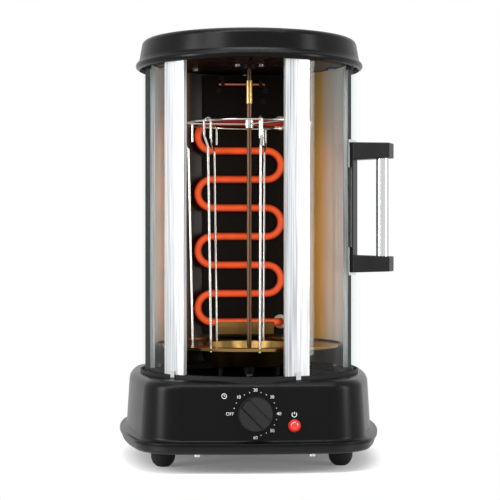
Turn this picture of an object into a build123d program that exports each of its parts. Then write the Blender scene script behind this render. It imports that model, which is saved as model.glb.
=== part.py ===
from build123d import *
import math
import os

# Vertical electric skewer grill, in millimetres.
# The origin is on the table plane, under the axis that the skewers turn about.
# X runs to the right of the front face, Y to the rear and Z up.
# An azimuth is an angle about Z from the front (-Y) towards the right (+X).

# ---------------------------------------------------------------- base
BASE_HALF_WIDTH = 142.5
BASE_FRONT = 133.0
BASE_REAR = 131.0
WIDEST_Y = 45.0
SIDE_BOW_RADIUS = 500.0
FRONT_BOW_RADIUS = 830.0
FRONT_CORNER = 53.0
REAR_CORNER = 38.0
FOOT_HEIGHT = 20.9
PLATE_TOP = 29.2
LIP_TOP = 32.4
LIP_ROUND = 1.2
DECK_TOP = 94.0
DECK_THICK = 6.6
BODY_INSET = 7.3
BODY_DRAFT = 3.5
SHOULDER = 10.0
COVE = 4.0
SHELL_WALL = 2.6
BOSS_X = 58.5
BOSS_FRONT = 115.0
BOSS_REAR = 112.0
BOSS_RADIUS = 5.0
BOSS_BORE = 24.0
PLATE_INSET = 2.6
PLATE_WALL = 2.4
PLATE_EDGE = 3.0
SLOT_LENGTH = 34.0
SLOT_WIDTH = 4.0
SLOT_PITCH = 10.0
SLOT_COUNT = 9
SLOT_ROW = 60.0
FOOT_X = 93.6
FOOT_Y = 60.0
FOOT_RADIUS = 12.8
FOOT_FLAT = 6.0
FOOT_ROUND = 11.5
FOOT_RECESS = 4.2
FOOT_RECESS_DEPTH = 8.0

# ---------------------------------------------------------------- screws
SCREW = 4.0
SCREW_PLAY = 0.2
CLOSE_PLAY = 0.05
HEAD_RADIUS = 3.5
HEAD_HEIGHT = 2.2
BASE_HEAD = 3.4
NUT_RADIUS = 3.8
NUT_HEIGHT = 3.0

# ---------------------------------------------------------------- front controls
KNOB_Z = 61.5
KNOB_RADIUS = 17.5
KNOB_TOP_RADIUS = 15.6
KNOB_DEPTH = 15.5
KNOB_SKIRT = 4.0
KNOB_GAP = 0.9
KNOB_RIDGE = 9.0
KNOB_REST_TURN = 135.0
TIMER_SHAFT = 6.0
TIMER_SHAFT_REACH = 12.0
TIMER_HOLE_PLAY = 0.4
TIMER_WIDTH = 46.0
TIMER_HEIGHT = 40.0
TIMER_DEPTH = 28.0
TIMER_BOSS = 9.0
TIMER_BOSS_HEIGHT = 1.0
TIMER_SCREW_X = 14.0
LAMP_X = 39.6
LAMP_Z = 49.4
LAMP_LENS = 6.2
LAMP_DOME = 4.6
LAMP_FLANGE = 6.9
LAMP_FLANGE_THICK = 0.9
LAMP_BARREL = 5.0
LAMP_BORE = 4.1
LAMP_BARREL_LENGTH = 16.0
GLAND_X = 70.0
GLAND_Z = 52.0
GLAND_BODY = 6.0
GLAND_BORE = 3.6
GLAND_FLANGE = 8.5
GLAND_FLANGE_THICK = 2.0
GLAND_INSIDE = 10.0

# ---------------------------------------------------------------- glass and tracks
GLASS_OUTER = 117.0
GLASS_THICK = 3.0
TRACK_PLAY = 0.4
TRACK_WALL = 1.4
TRACK_SINK = 4.0
TRACK_RISE = 4.0
TRACK_FLOOR = 3.5
TRACK_SEAT_GAP = 0.15
CHAMBER_TOP = 431.0
UPPER_TRACK_DEPTH = 7.0
GLASS_END_PLAY = 0.5
STILE_WIDTH = 27.5
STILE_OUTER = 118.3
STILE_INNER = 112.9
STILE_BITE = 14.0
STILE_END_PLAY = 0.3
GLASS_EDGE_PLAY = 0.2
POST_AZIMUTH = -44.4
STILE_AZIMUTH = 22.0
DOOR_TAIL = 150.0
LEFT_PANE_TAIL = -104.0
GLIDE_WIDTH = 6.0
CLIP_WIDTH = 5.5
CLIP_OUTER = 120.0
CLIP_DROP = 94.5
CLIP_TOP = 102.0

# ---------------------------------------------------------------- handle
HANDLE_AZIMUTH = 67.5
HANDLE_TOP = 341.5
HANDLE_BOTTOM = 203.0
HANDLE_REACH = 160.0
HANDLE_TUBE = 13.5
HANDLE_TUBE_WALL = 1.2
HANDLE_TUBE_RADIUS = 150.0
BLOCK_WIDTH = 20.0
BLOCK_ROOT_HEIGHT = 18.6
BLOCK_TIP_HEIGHT = 16.0
TUBE_SOCKET = 9.0
BACKPLATE_WIDTH = 17.0
PAD_THICK = 1.2
PAD_WIDTH = 26.0
PAD_HEIGHT = 30.0
PAD_OVERLAP = 3.0
BACKPLATE_THICK = 2.0

# ---------------------------------------------------------------- rear shell
SHELL_OUTER = 111.8
SHEET = 1.2
SHELL_EDGE = 88.0
FLANGE_INNER = 103.0
JAMB_OUTER = 108.4
LEFT_SEAL_OUTER = 113.5
RIGHT_SEAL_OUTER = 111.4
SEAL_DEGREES = 2.6
LINER_OUTER = 107.0
LINER_SHEET = 0.8
LINER_EDGE = 92.0
TAB_INNER = 98.0
TAB_FOOT_INNER = 102.8
TAB_FOOT_SCREW_RADIUS = 106.8
TAB_DEGREES = 7.0
TAB_AZIMUTHS = (112.0, 180.0, 248.0)
TAB_SCREW_RADIUS = 101.5
VENT_WIDTH = 4.0
VENT_HEIGHT = 26.0
VENT_DEGREES = 5.0
VENT_COUNT = 9
VENT_Z = 400.0

# ---------------------------------------------------------------- heater
PANEL_Y = 93.0
PANEL_HALF_WIDTH = 48.8
PANEL_BOTTOM = 128.6
PANEL_TOP = 428.0
HEATER_X = -7.0
HEATER_Y = 84.0
HEATER_TOP = 373.1
HEATER_PITCH = 32.8
HEATER_RUNS = 8
HEATER_TUBE = 8.5
HEATER_HALF_WIDTH = 52.0
HEATER_TAIL_BEND = 7.0
HEATER_TAIL = 2.2
BUSH_RADIUS = 8.0
BUSH_PROUD = 2.5
SUPPORT_X = 0.0
SUPPORT_WIDTH = 66.0
SUPPORT_GAP = 0.3
SUPPORT_LEG = 10.0
ROD_Z = 417.6
ROD_Y = 86.0
ROD_LEFT = -31.0
ROD_RIGHT = 22.6
ROD_RADIUS = 2.5
PANEL_SCREWS = ((-27.4, 425.0), (-31.0, 410.5), (23.4, 410.5), (21.0, 398.0))

# ---------------------------------------------------------------- carousel
FLOOR_Z = 89.0
FLOOR_SHEET = 0.8
FLOOR_OPENING = 102.4
FLOOR_PAN = 100.8
FLOOR_FLANGE = 109.8
FLOOR_HOLE = 9.0
SHAFT = 5.0
SHAFT_TOP = 429.0
MOTOR_SHAFT = 6.0
MOTOR_SHAFT_TOP = 98.0
HUB_RADIUS = 6.2
HUB_BOTTOM = 91.0
HUB_TOP = 112.0
COLLAR_RADIUS = 3.3
COLLAR_BOTTOM = 387.0
COLLAR_TOP = 412.0
DISH_RADIUS = 100.0
DISH_Z = 123.6
DISH_SHEET = 1.0
WELL_TOP_RADIUS = 57.0
WELL_FLOOR_RADIUS = 47.0
WELL_FLOOR_Z = 102.5
DISH_LIP = 2.0
RING_RADIUS = 68.4
RING_WIRE = 2.4
RING_Z = 364.6
RING_HUB_RADIUS = 4.6
RING_HUB_HEIGHT = 9.0
SPOKE_WIRE = 2.4
SPOKES = 3
BUFFER_RADIUS = 2.8
BUFFER_X = 30.6
BUFFER_HEIGHT = 8.0
BEARING_RADIUS = 8.0
BEARING_FLANGE = 17.0
BEARING_FLANGE_THICK = 1.5
BEARING_LENGTH = 6.0
BEARING_SCREW_RADIUS = 12.5

# ---------------------------------------------------------------- skewers
SKEWERS = 7
SKEWER_WIRE = 2.4
SKEWER_FIRST = 7.6
SKEWER_NECK_RADIUS = 66.6
SKEWER_FOOT_RADIUS = 61.8
SKEWER_FOOT_Z = 118.5
SKEWER_NECK_Z = 337.0
HOOK_RADIUS = 67.6
HOOK_HALF_WIDTH = 5.2
HOOK_CENTRE_Z = 362.4
HOOK_SHOULDER_Z = 348.0
HOOK_TIP_Z = 345.0
SKEWER_HOLE = 1.8

# ---------------------------------------------------------------- motor
MOTOR_RADIUS = 25.0
MOTOR_BOTTOM = 50.0
GEARBOX_BOTTOM = 71.0
GEARBOX_RADIUS = 28.0
MOTOR_BOSS = 6.5
MOTOR_SCREW_Y = 20.0
STRAP_WIDTH = 60.0
STRAP_THICK = 2.0
STRAP_SCREW_X = 104.6
STRAP_SCREW_Y = 22.0
TERMINAL_X = 62.0
TERMINAL_Y = 84.0
TERMINAL_SIZE = (38.0, 18.0, 15.0)
TERMINAL_POLES = 3

# ---------------------------------------------------------------- lid
LID_HEIGHT = 23.9
LID_CROWN = 0.6
LID_SHOULDER = 116.2
LID_SHOULDER_ROUND = 6.5
SKIRT_FOOT = 120.0
SKIRT_FOOT_RISE = 2.0
BEAD_DROP = 4.4
BEAD_SIZE = 4.2
LID_SHEET = 1.2
PILLAR_RADIUS = 4.5
PILLAR_PLACE = 82.0
PILLARS = 4

# ---------------------------------------------------------------- worked out
UPRIGHT = (Align.CENTER, Align.CENTER, Align.MIN)
GLASS_INNER = GLASS_OUTER - GLASS_THICK
TRACK_OUTER = GLASS_OUTER + TRACK_PLAY + TRACK_WALL
TRACK_INNER = GLASS_INNER - TRACK_PLAY - TRACK_WALL
TRACK_BOTTOM = DECK_TOP - TRACK_SINK
TRACK_TOP = DECK_TOP + TRACK_RISE
GROOVE_FLOOR = TRACK_BOTTOM + TRACK_FLOOR
UPPER_TRACK_BOTTOM = CHAMBER_TOP - UPPER_TRACK_DEPTH
UPPER_GROOVE_ROOF = CHAMBER_TOP - TRACK_FLOOR
GLASS_BOTTOM = GROOVE_FLOOR + 2 * GLASS_END_PLAY
GLASS_TOP = UPPER_GROOVE_ROOF - 2 * GLASS_END_PLAY
STILE_BOTTOM = TRACK_TOP + STILE_END_PLAY
STILE_TOP = UPPER_TRACK_BOTTOM - STILE_END_PLAY
STILE_HALF = math.degrees(STILE_WIDTH / 2 / STILE_OUTER)
BITE_DEGREES = math.degrees(STILE_BITE / GLASS_OUTER)
EDGE_DEGREES = math.degrees(GLASS_EDGE_PLAY / GLASS_OUTER)
CLIP_HALF = math.degrees(CLIP_WIDTH / 2 / CLIP_OUTER)
GLIDE_HALF = math.degrees(GLIDE_WIDTH / 2 / GLASS_OUTER)
SHEET_DEGREES = math.degrees(SHEET / SHELL_OUTER)
SHELL_INNER = SHELL_OUTER - SHEET
DECK_BOTTOM = DECK_TOP - DECK_THICK
PLATE_FLOOR = FOOT_HEIGHT + PLATE_WALL
HEATER_BOTTOM = HEATER_TOP - HEATER_PITCH * (HEATER_RUNS - 1)
PAN_FLANGE_TOP = DECK_TOP + FLOOR_SHEET
LINER_BOTTOM = PAN_FLANGE_TOP + SHEET
SHELL_TOP = CHAMBER_TOP - CLOSE_PLAY
FRONT_TILT = math.radians(BODY_DRAFT)
LID_TOP = CHAMBER_TOP + LID_HEIGHT
SKIRT_FOOT_Z = CHAMBER_TOP + SKIRT_FOOT_RISE
BEAD_Z = CHAMBER_TOP - BEAD_DROP


def around(radius, azimuth, height=0.0):
    """Point at a radius and azimuth about the vertical axis."""
    angle = math.radians(azimuth)
    return (radius * math.sin(angle), -radius * math.cos(angle), height)


def base_outline(inset, height):
    """Plan of the base, drawn in by an inset, on a plane at a height."""
    half = BASE_HALF_WIDTH - inset
    side_radius = SIDE_BOW_RADIUS - inset
    front_radius = FRONT_BOW_RADIUS - inset
    side_centre = half - side_radius
    with BuildSketch(Plane.XY.offset(height)) as outline:
        with Locations((side_centre, WIDEST_Y)):
            Circle(side_radius)
        with Locations((-side_centre, WIDEST_Y)):
            Circle(side_radius, mode=Mode.INTERSECT)
        with Locations((0, front_radius - BASE_FRONT + inset)):
            Circle(front_radius, mode=Mode.INTERSECT)
        with Locations((0, BASE_REAR - inset)):
            Rectangle(4 * half, 4 * half, align=(Align.CENTER, Align.MAX), mode=Mode.INTERSECT)
        fillet(outline.vertices().sort_by(Axis.Y)[:2], FRONT_CORNER - inset)
        fillet(outline.vertices().sort_by(Axis.Y)[-2:], REAR_CORNER - inset)
    return outline.sketch


def sector(inner, outer, start, end, height):
    """Part of a ring between two azimuths, on a plane at a height."""
    with BuildSketch(Plane.XY.offset(height)) as piece:
        with BuildLine():
            far = CenterArc((0, 0), outer, start - 90, end - start)
            near = CenterArc((0, 0), inner, start - 90, end - start)
            Line(far @ 0, near @ 0)
            Line(far @ 1, near @ 1)
        make_face()
    return piece.sketch


def radial_plane(azimuth):
    """Upright plane through the axis: its X points outwards at the azimuth and its Y points up."""
    out = Vector(*around(1, azimuth))
    return Plane(origin=(0, 0, 0), x_dir=out, z_dir=out.cross(Vector(0, 0, 1)))


def outward_plane(azimuth, radius, height):
    """Plane that faces outwards at an azimuth, with its Y pointing up."""
    out = around(1, azimuth)
    return Plane(origin=around(radius, azimuth, height), x_dir=(-out[1], out[0], 0), z_dir=out)


def front_plane(x, z):
    """Plane on the bowed and sloping front face of the base, facing outwards."""
    bow = FRONT_BOW_RADIUS - BODY_INSET - (z - PLATE_TOP) * math.tan(FRONT_TILT)
    sine = x / bow
    cosine = math.sqrt(1 - sine * sine)
    outwards = (sine * math.cos(FRONT_TILT), -cosine * math.cos(FRONT_TILT), math.sin(FRONT_TILT))
    face_y = FRONT_BOW_RADIUS - BASE_FRONT - bow * cosine
    return Plane(origin=(x, face_y, z), x_dir=(cosine, sine, 0), z_dir=outwards)


def rear_plane(x, z):
    """Plane on the sloping rear face of the base, facing outwards."""
    face_y = BASE_REAR - BODY_INSET - (z - PLATE_TOP) * math.tan(FRONT_TILT)
    outwards = (0, math.cos(FRONT_TILT), math.sin(FRONT_TILT))
    return Plane(origin=(x, face_y, z), x_dir=(-1, 0, 0), z_dir=outwards)


def pan_screws(places, seat, reach, up=True, head=HEAD_HEIGHT):
    """Pan-head screws at places: each head under its seat plane, or over it, and the shank beyond."""
    sense = 1 if up else -1
    with BuildPart() as screws:
        with BuildSketch(Plane.XY.offset(seat)):
            with Locations(*places):
                Circle(SCREW / 2)
        extrude(amount=sense * reach)
        with BuildSketch(Plane.XY.offset(seat)):
            with Locations(*places):
                Circle(HEAD_RADIUS)
        extrude(amount=-sense * head)
    return screws


boss_places = [(x, y) for x in (-BOSS_X, BOSS_X) for y in (-BOSS_FRONT, BOSS_REAR)]
foot_places = [(x, y) for x in (-FOOT_X, FOOT_X) for y in (-FOOT_Y, FOOT_Y)]
strap_places = [(x, y) for x in (-STRAP_SCREW_X, STRAP_SCREW_X) for y in (-STRAP_SCREW_Y, STRAP_SCREW_Y)]
tab_places = [around(TAB_FOOT_SCREW_RADIUS, azimuth)[:2] for azimuth in TAB_AZIMUTHS]
motor_places = [(0, -MOTOR_SCREW_Y), (0, MOTOR_SCREW_Y)]
pillar_places = [around(PILLAR_PLACE, 45 + 360 / PILLARS * i)[:2] for i in range(PILLARS)]
upper_tab_places = [around(TAB_SCREW_RADIUS, azimuth)[:2] for azimuth in TAB_AZIMUTHS]
bearing_places = [(-BEARING_SCREW_RADIUS, 0), (BEARING_SCREW_RADIUS, 0)]
timer_seat = front_plane(0, KNOB_Z)
lamp_seat = front_plane(LAMP_X, LAMP_Z)
gland_seat = rear_plane(GLAND_X, GLAND_Z)
os.makedirs("parts", exist_ok=True)

# ---------------------------------------------------------------- base housing
with BuildPart() as base_housing:
    extrude(base_outline(BODY_INSET, PLATE_TOP), amount=DECK_TOP - PLATE_TOP, taper=BODY_DRAFT)
    fillet(base_housing.faces().sort_by(Axis.Z)[-1].edges(), SHOULDER)
    extrude(base_outline(0, PLATE_TOP), amount=LIP_TOP - PLATE_TOP)
    lip = base_housing.faces().filter_by_position(Axis.Z, LIP_TOP - 0.01, LIP_TOP + 0.01)[0]
    fillet(lip.inner_wires()[0].edges(), COVE)
    lip = base_housing.faces().filter_by_position(Axis.Z, LIP_TOP - 0.01, LIP_TOP + 0.01)[0]
    fillet(lip.outer_wire().edges(), LIP_ROUND)
    cavity = base_outline(BODY_INSET + SHELL_WALL, PLATE_TOP)
    extrude(cavity, amount=DECK_BOTTOM - PLATE_TOP, taper=BODY_DRAFT, mode=Mode.SUBTRACT)
    with BuildSketch(Plane.XY.offset(PLATE_TOP)):
        with Locations(*boss_places):
            Circle(BOSS_RADIUS)
    extrude(amount=DECK_BOTTOM - PLATE_TOP)
    with BuildSketch(Plane.XY.offset(PLATE_TOP)):
        with Locations(*boss_places):
            Circle(SCREW / 2 + CLOSE_PLAY)
    extrude(amount=BOSS_BORE, mode=Mode.SUBTRACT)
    with BuildSketch(Plane.XY.offset(DECK_BOTTOM)):
        Circle(FLOOR_OPENING)
    extrude(amount=DECK_THICK, mode=Mode.SUBTRACT)
    with BuildSketch(Plane.XY.offset(TRACK_BOTTOM)):
        Circle(TRACK_OUTER + TRACK_SEAT_GAP)
        Circle(TRACK_INNER - TRACK_SEAT_GAP, mode=Mode.SUBTRACT)
    extrude(amount=TRACK_SINK, mode=Mode.SUBTRACT)
    with BuildSketch(Plane.XY.offset(DECK_BOTTOM)):
        with Locations(*tab_places):
            Circle(SCREW / 2 + CLOSE_PLAY)
    extrude(amount=DECK_THICK, mode=Mode.SUBTRACT)
    with BuildSketch(Plane.XY.offset(DECK_BOTTOM)):
        with Locations(*strap_places):
            Circle(SCREW / 2 + CLOSE_PLAY)
    extrude(amount=DECK_THICK - SHEET, mode=Mode.SUBTRACT)
    with BuildSketch(timer_seat):
        Circle(TIMER_SHAFT / 2 + TIMER_HOLE_PLAY)
        with Locations((-TIMER_SCREW_X, 0), (TIMER_SCREW_X, 0)):
            Circle(SCREW / 2 + CLOSE_PLAY)
    extrude(amount=2 * SHELL_WALL, both=True, mode=Mode.SUBTRACT)
    with BuildSketch(lamp_seat):
        Circle(LAMP_BARREL + CLOSE_PLAY)
    extrude(amount=2 * SHELL_WALL, both=True, mode=Mode.SUBTRACT)
    with BuildSketch(gland_seat):
        Circle(GLAND_BODY + CLOSE_PLAY)
    extrude(amount=2 * SHELL_WALL, both=True, mode=Mode.SUBTRACT)
base_housing.part.label = "base_housing"
export_step(base_housing.part, "parts/base_housing.step")

# ---------------------------------------------------------------- bottom plate
with BuildPart() as base_plate:
    extrude(base_outline(PLATE_INSET, FOOT_HEIGHT), amount=PLATE_TOP - FOOT_HEIGHT)
    fillet(base_plate.faces().sort_by(Axis.Z)[0].edges(), PLATE_EDGE)
    extrude(
        base_outline(PLATE_INSET + PLATE_WALL, PLATE_FLOOR),
        amount=PLATE_TOP - PLATE_FLOOR,
        mode=Mode.SUBTRACT,
    )
    with BuildSketch(Plane.XY.offset(PLATE_FLOOR)):
        with Locations(*boss_places):
            Circle(BOSS_RADIUS)
    extrude(amount=PLATE_TOP - PLATE_FLOOR)
    with BuildSketch(Plane.XY.offset(FOOT_HEIGHT)):
        with Locations(*boss_places, *foot_places):
            Circle(SCREW / 2 + SCREW_PLAY)
        with GridLocations(SLOT_PITCH, SLOT_ROW, SLOT_COUNT, 2):
            SlotOverall(SLOT_LENGTH, SLOT_WIDTH, rotation=90)
    extrude(amount=PLATE_TOP - FOOT_HEIGHT, mode=Mode.SUBTRACT)
base_plate.part.label = "base_plate"
export_step(base_plate.part, "parts/base_plate.step")

# ---------------------------------------------------------------- feet and their fasteners
with BuildPart(Plane.XY, mode=Mode.PRIVATE) as one_foot:
    with BuildSketch(Plane.XZ):
        with BuildLine():
            Line((FOOT_RECESS, 0), (FOOT_FLAT, 0))
            TangentArc((FOOT_RADIUS, FOOT_ROUND), (FOOT_FLAT, 0), tangent=(0, -1))
            Polyline(
                (FOOT_RADIUS, FOOT_ROUND),
                (FOOT_RADIUS, FOOT_HEIGHT),
                (SCREW / 2 + SCREW_PLAY, FOOT_HEIGHT),
                (SCREW / 2 + SCREW_PLAY, FOOT_RECESS_DEPTH),
                (FOOT_RECESS, FOOT_RECESS_DEPTH),
                (FOOT_RECESS, 0),
            )
        make_face()
    revolve(axis=Axis.Z)
with BuildPart() as rubber_feet:
    with Locations(*foot_places):
        add(one_foot.part)
rubber_feet.part.label = "rubber_feet"
export_step(rubber_feet.part, "parts/rubber_feet.step")

with BuildPart() as foot_nuts:
    with BuildSketch(Plane.XY.offset(PLATE_FLOOR)):
        with Locations(*foot_places):
            RegularPolygon(NUT_RADIUS, 6)
            Circle(SCREW / 2 + CLOSE_PLAY, mode=Mode.SUBTRACT)
    extrude(amount=NUT_HEIGHT)
foot_nuts.part.label = "foot_nuts"
export_step(foot_nuts.part, "parts/foot_nuts.step")

with BuildPart() as base_screws:
    add(pan_screws(foot_places, FOOT_RECESS_DEPTH, PLATE_FLOOR + NUT_HEIGHT + 1 - FOOT_RECESS_DEPTH).part)
    boss_reach = PLATE_TOP - FOOT_HEIGHT + BOSS_BORE - 4
    add(pan_screws(boss_places, FOOT_HEIGHT, boss_reach, head=BASE_HEAD).part)
    add(pan_screws(strap_places, DECK_BOTTOM - STRAP_THICK, STRAP_THICK + DECK_THICK - 2 * SHEET).part)
base_screws.part.label = "base_screws"
export_step(base_screws.part, "parts/base_screws.step")

# ---------------------------------------------------------------- timer and knob
with BuildPart() as timer_body:
    with BuildSketch(timer_seat.offset(-SHELL_WALL - TIMER_BOSS_HEIGHT)):
        RectangleRounded(TIMER_WIDTH, TIMER_HEIGHT, 3)
    extrude(amount=-TIMER_DEPTH)
    with BuildSketch(timer_seat.offset(-SHELL_WALL - TIMER_BOSS_HEIGHT)):
        Circle(TIMER_BOSS)
    extrude(amount=TIMER_BOSS_HEIGHT - CLOSE_PLAY)
    with BuildSketch(timer_seat):
        Circle(TIMER_SHAFT / 2 + CLOSE_PLAY)
        with Locations((-TIMER_SCREW_X, 0), (TIMER_SCREW_X, 0)):
            Circle(SCREW / 2 + CLOSE_PLAY)
    extrude(amount=-SHELL_WALL - TIMER_SHAFT_REACH - 1, mode=Mode.SUBTRACT)
timer_body.part.label = "timer_body"
export_step(timer_body.part, "parts/timer_body.step")

with BuildPart() as timer_screws:
    with BuildSketch(timer_seat.offset(KNOB_GAP / 3)):
        with Locations((-TIMER_SCREW_X, 0), (TIMER_SCREW_X, 0)):
            Circle(SCREW / 2)
    extrude(amount=-SHELL_WALL - TIMER_SHAFT_REACH + 2)
    with BuildSketch(timer_seat.offset(KNOB_GAP / 6)):
        with Locations((-TIMER_SCREW_X, 0), (TIMER_SCREW_X, 0)):
            Circle(SCREW / 2 + KNOB_GAP)
    extrude(amount=KNOB_GAP / 3)
timer_screws.part.label = "timer_screws"
export_step(timer_screws.part, "parts/timer_screws.step")

with BuildPart() as timer_shaft:
    with BuildSketch(timer_seat.offset(-SHELL_WALL - TIMER_SHAFT_REACH)):
        Circle(TIMER_SHAFT / 2)
    extrude(amount=SHELL_WALL + TIMER_SHAFT_REACH + KNOB_DEPTH / 2)
timer_shaft.part.label = "timer_shaft"
export_step(timer_shaft.part, "parts/timer_shaft.step")

with BuildPart() as timer_knob:
    with BuildSketch(timer_seat.offset(KNOB_GAP)):
        Circle(KNOB_RADIUS)
    extrude(amount=KNOB_SKIRT - KNOB_GAP)
    with BuildSketch(timer_seat.offset(KNOB_SKIRT)):
        Circle(KNOB_RADIUS - 0.8)
    with BuildSketch(timer_seat.offset(KNOB_DEPTH)):
        Circle(KNOB_TOP_RADIUS)
    loft()
    rest_turn = math.radians(KNOB_REST_TURN)
    ridge = timer_seat.x_dir * math.cos(rest_turn) + timer_seat.y_dir * math.sin(rest_turn)
    scoop_plane = Plane(
        origin=timer_seat.origin - ridge * KNOB_RADIUS * 1.5,
        x_dir=timer_seat.z_dir.cross(ridge),
        z_dir=ridge,
    )
    with BuildSketch(scoop_plane):
        with BuildLine():
            Polyline(
                (KNOB_RIDGE / 2, KNOB_DEPTH + 1),
                (KNOB_RIDGE / 2, KNOB_DEPTH - 1),
                (KNOB_RIDGE / 2 + 2, KNOB_SKIRT + 5),
                (KNOB_RADIUS + 1, KNOB_SKIRT + 2),
                (KNOB_RADIUS + 1, KNOB_DEPTH + 1),
                close=True,
            )
        make_face()
        mirror(about=Plane.YZ)
    extrude(amount=3 * KNOB_RADIUS, mode=Mode.SUBTRACT)
    with BuildSketch(timer_seat.offset(KNOB_GAP)):
        Circle(TIMER_SHAFT / 2)
    extrude(amount=KNOB_DEPTH / 2 - KNOB_GAP, mode=Mode.SUBTRACT)
timer_knob.part.label = "timer_knob"
export_step(timer_knob.part, "parts/timer_knob.step")

# ---------------------------------------------------------------- power lamp
with BuildPart() as lamp_holder:
    with BuildSketch(lamp_seat.offset(CLOSE_PLAY)):
        Circle(LAMP_FLANGE)
    extrude(amount=LAMP_FLANGE_THICK)
    with BuildSketch(lamp_seat.offset(CLOSE_PLAY)):
        Circle(LAMP_BARREL)
    extrude(amount=-LAMP_BARREL_LENGTH)
    with BuildSketch(lamp_seat.offset(LAMP_FLANGE_THICK + CLOSE_PLAY)):
        Circle(LAMP_BORE)
    extrude(amount=-LAMP_BARREL_LENGTH, mode=Mode.SUBTRACT)
lamp_holder.part.label = "lamp_holder"
export_step(lamp_holder.part, "parts/lamp_holder.step")

lens_neck = LAMP_BORE - CLOSE_PLAY
lamp_face = lamp_seat.offset(LAMP_FLANGE_THICK + CLOSE_PLAY)
with BuildPart() as lamp_lens:
    with BuildSketch(Plane(origin=lamp_face.origin, x_dir=lamp_face.x_dir, z_dir=-lamp_face.y_dir)):
        with BuildLine():
            Polyline((0, LAMP_DOME), (0, -2), (lens_neck, -2), (lens_neck, 0), (LAMP_LENS, 0))
            TangentArc((0, LAMP_DOME), (LAMP_LENS, 0), tangent=(1, 0))
        make_face()
    revolve(axis=Axis(lamp_face.origin, lamp_face.z_dir))
lamp_lens.part.label = "lamp_lens"
export_step(lamp_lens.part, "parts/lamp_lens.step")

with BuildPart() as lamp_bulb:
    with BuildSketch(lamp_seat.offset(-3)):
        Circle(LAMP_BORE - 1)
    extrude(amount=-LAMP_BARREL_LENGTH + 4)
    fillet(lamp_bulb.edges().filter_by(GeomType.CIRCLE), 1.2)
lamp_bulb.part.label = "lamp_bulb"
export_step(lamp_bulb.part, "parts/lamp_bulb.step")

# ---------------------------------------------------------------- cord inlet and terminals
with BuildPart() as cord_gland:
    with BuildSketch(gland_seat.offset(CLOSE_PLAY)):
        Circle(GLAND_FLANGE)
    extrude(amount=GLAND_FLANGE_THICK)
    fillet(cord_gland.edges().group_by(Axis.Y)[-1], 0.8)
    with BuildSketch(gland_seat.offset(CLOSE_PLAY)):
        Circle(GLAND_BODY)
    extrude(amount=-GLAND_INSIDE)
    with BuildSketch(gland_seat.offset(-GLAND_INSIDE)):
        Circle(GLAND_BORE)
    extrude(amount=GLAND_INSIDE + GLAND_FLANGE_THICK + 1, mode=Mode.SUBTRACT)
cord_gland.part.label = "cord_gland"
export_step(cord_gland.part, "parts/cord_gland.step")

with BuildPart() as terminal_block:
    with Locations((TERMINAL_X, TERMINAL_Y, PLATE_FLOOR)):
        Box(*TERMINAL_SIZE, align=UPRIGHT)
    with BuildSketch(Plane.XZ.offset(-TERMINAL_Y + TERMINAL_SIZE[1])):
        with Locations((TERMINAL_X, PLATE_FLOOR + TERMINAL_SIZE[2] / 2)):
            with GridLocations(TERMINAL_SIZE[0] / TERMINAL_POLES, 1, TERMINAL_POLES, 1):
                Circle(2)
    extrude(amount=-2 * TERMINAL_SIZE[1], mode=Mode.SUBTRACT)
terminal_block.part.label = "terminal_block"
export_step(terminal_block.part, "parts/terminal_block.step")

# ---------------------------------------------------------------- gear motor
with BuildPart() as motor_body:
    with BuildSketch(Plane.XY.offset(MOTOR_BOTTOM)):
        Circle(MOTOR_RADIUS)
    extrude(amount=GEARBOX_BOTTOM - MOTOR_BOTTOM)
    with BuildSketch(Plane.XY.offset(GEARBOX_BOTTOM)):
        Circle(GEARBOX_RADIUS)
    extrude(amount=DECK_BOTTOM - STRAP_THICK - GEARBOX_BOTTOM)
    with BuildSketch(Plane.XY.offset(DECK_BOTTOM - STRAP_THICK)):
        Circle(MOTOR_BOSS)
    extrude(amount=STRAP_THICK)
    with BuildSketch(Plane.XY.offset(DECK_BOTTOM)):
        Circle(MOTOR_SHAFT / 2 + CLOSE_PLAY)
        with Locations(*motor_places):
            Circle(SCREW / 2 + CLOSE_PLAY)
    extrude(amount=-(DECK_BOTTOM - GEARBOX_BOTTOM) + 3, mode=Mode.SUBTRACT)
motor_body.part.label = "motor_body"
export_step(motor_body.part, "parts/motor_body.step")

with BuildPart() as motor_strap:
    with BuildSketch(Plane.XY.offset(DECK_BOTTOM - STRAP_THICK)):
        RectangleRounded(2 * STRAP_SCREW_X + 2.5 * HEAD_RADIUS, STRAP_WIDTH, 6)
        Circle(MOTOR_BOSS + SCREW_PLAY, mode=Mode.SUBTRACT)
        with Locations(*motor_places, *strap_places):
            Circle(SCREW / 2 + SCREW_PLAY, mode=Mode.SUBTRACT)
    extrude(amount=STRAP_THICK)
motor_strap.part.label = "motor_strap"
export_step(motor_strap.part, "parts/motor_strap.step")

with BuildPart() as motor_screws:
    with BuildSketch(Plane.XY.offset(DECK_BOTTOM)):
        with Locations(*motor_places):
            Circle(SCREW / 2)
    extrude(amount=-(DECK_BOTTOM - GEARBOX_BOTTOM) + 4)
    with BuildSketch(Plane.XY.offset(DECK_BOTTOM)):
        with Locations(*motor_places):
            Circle(HEAD_RADIUS)
    extrude(amount=FLOOR_Z - DECK_BOTTOM - 2 * CLOSE_PLAY)
motor_screws.part.label = "motor_screws"
export_step(motor_screws.part, "parts/motor_screws.step")

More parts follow.
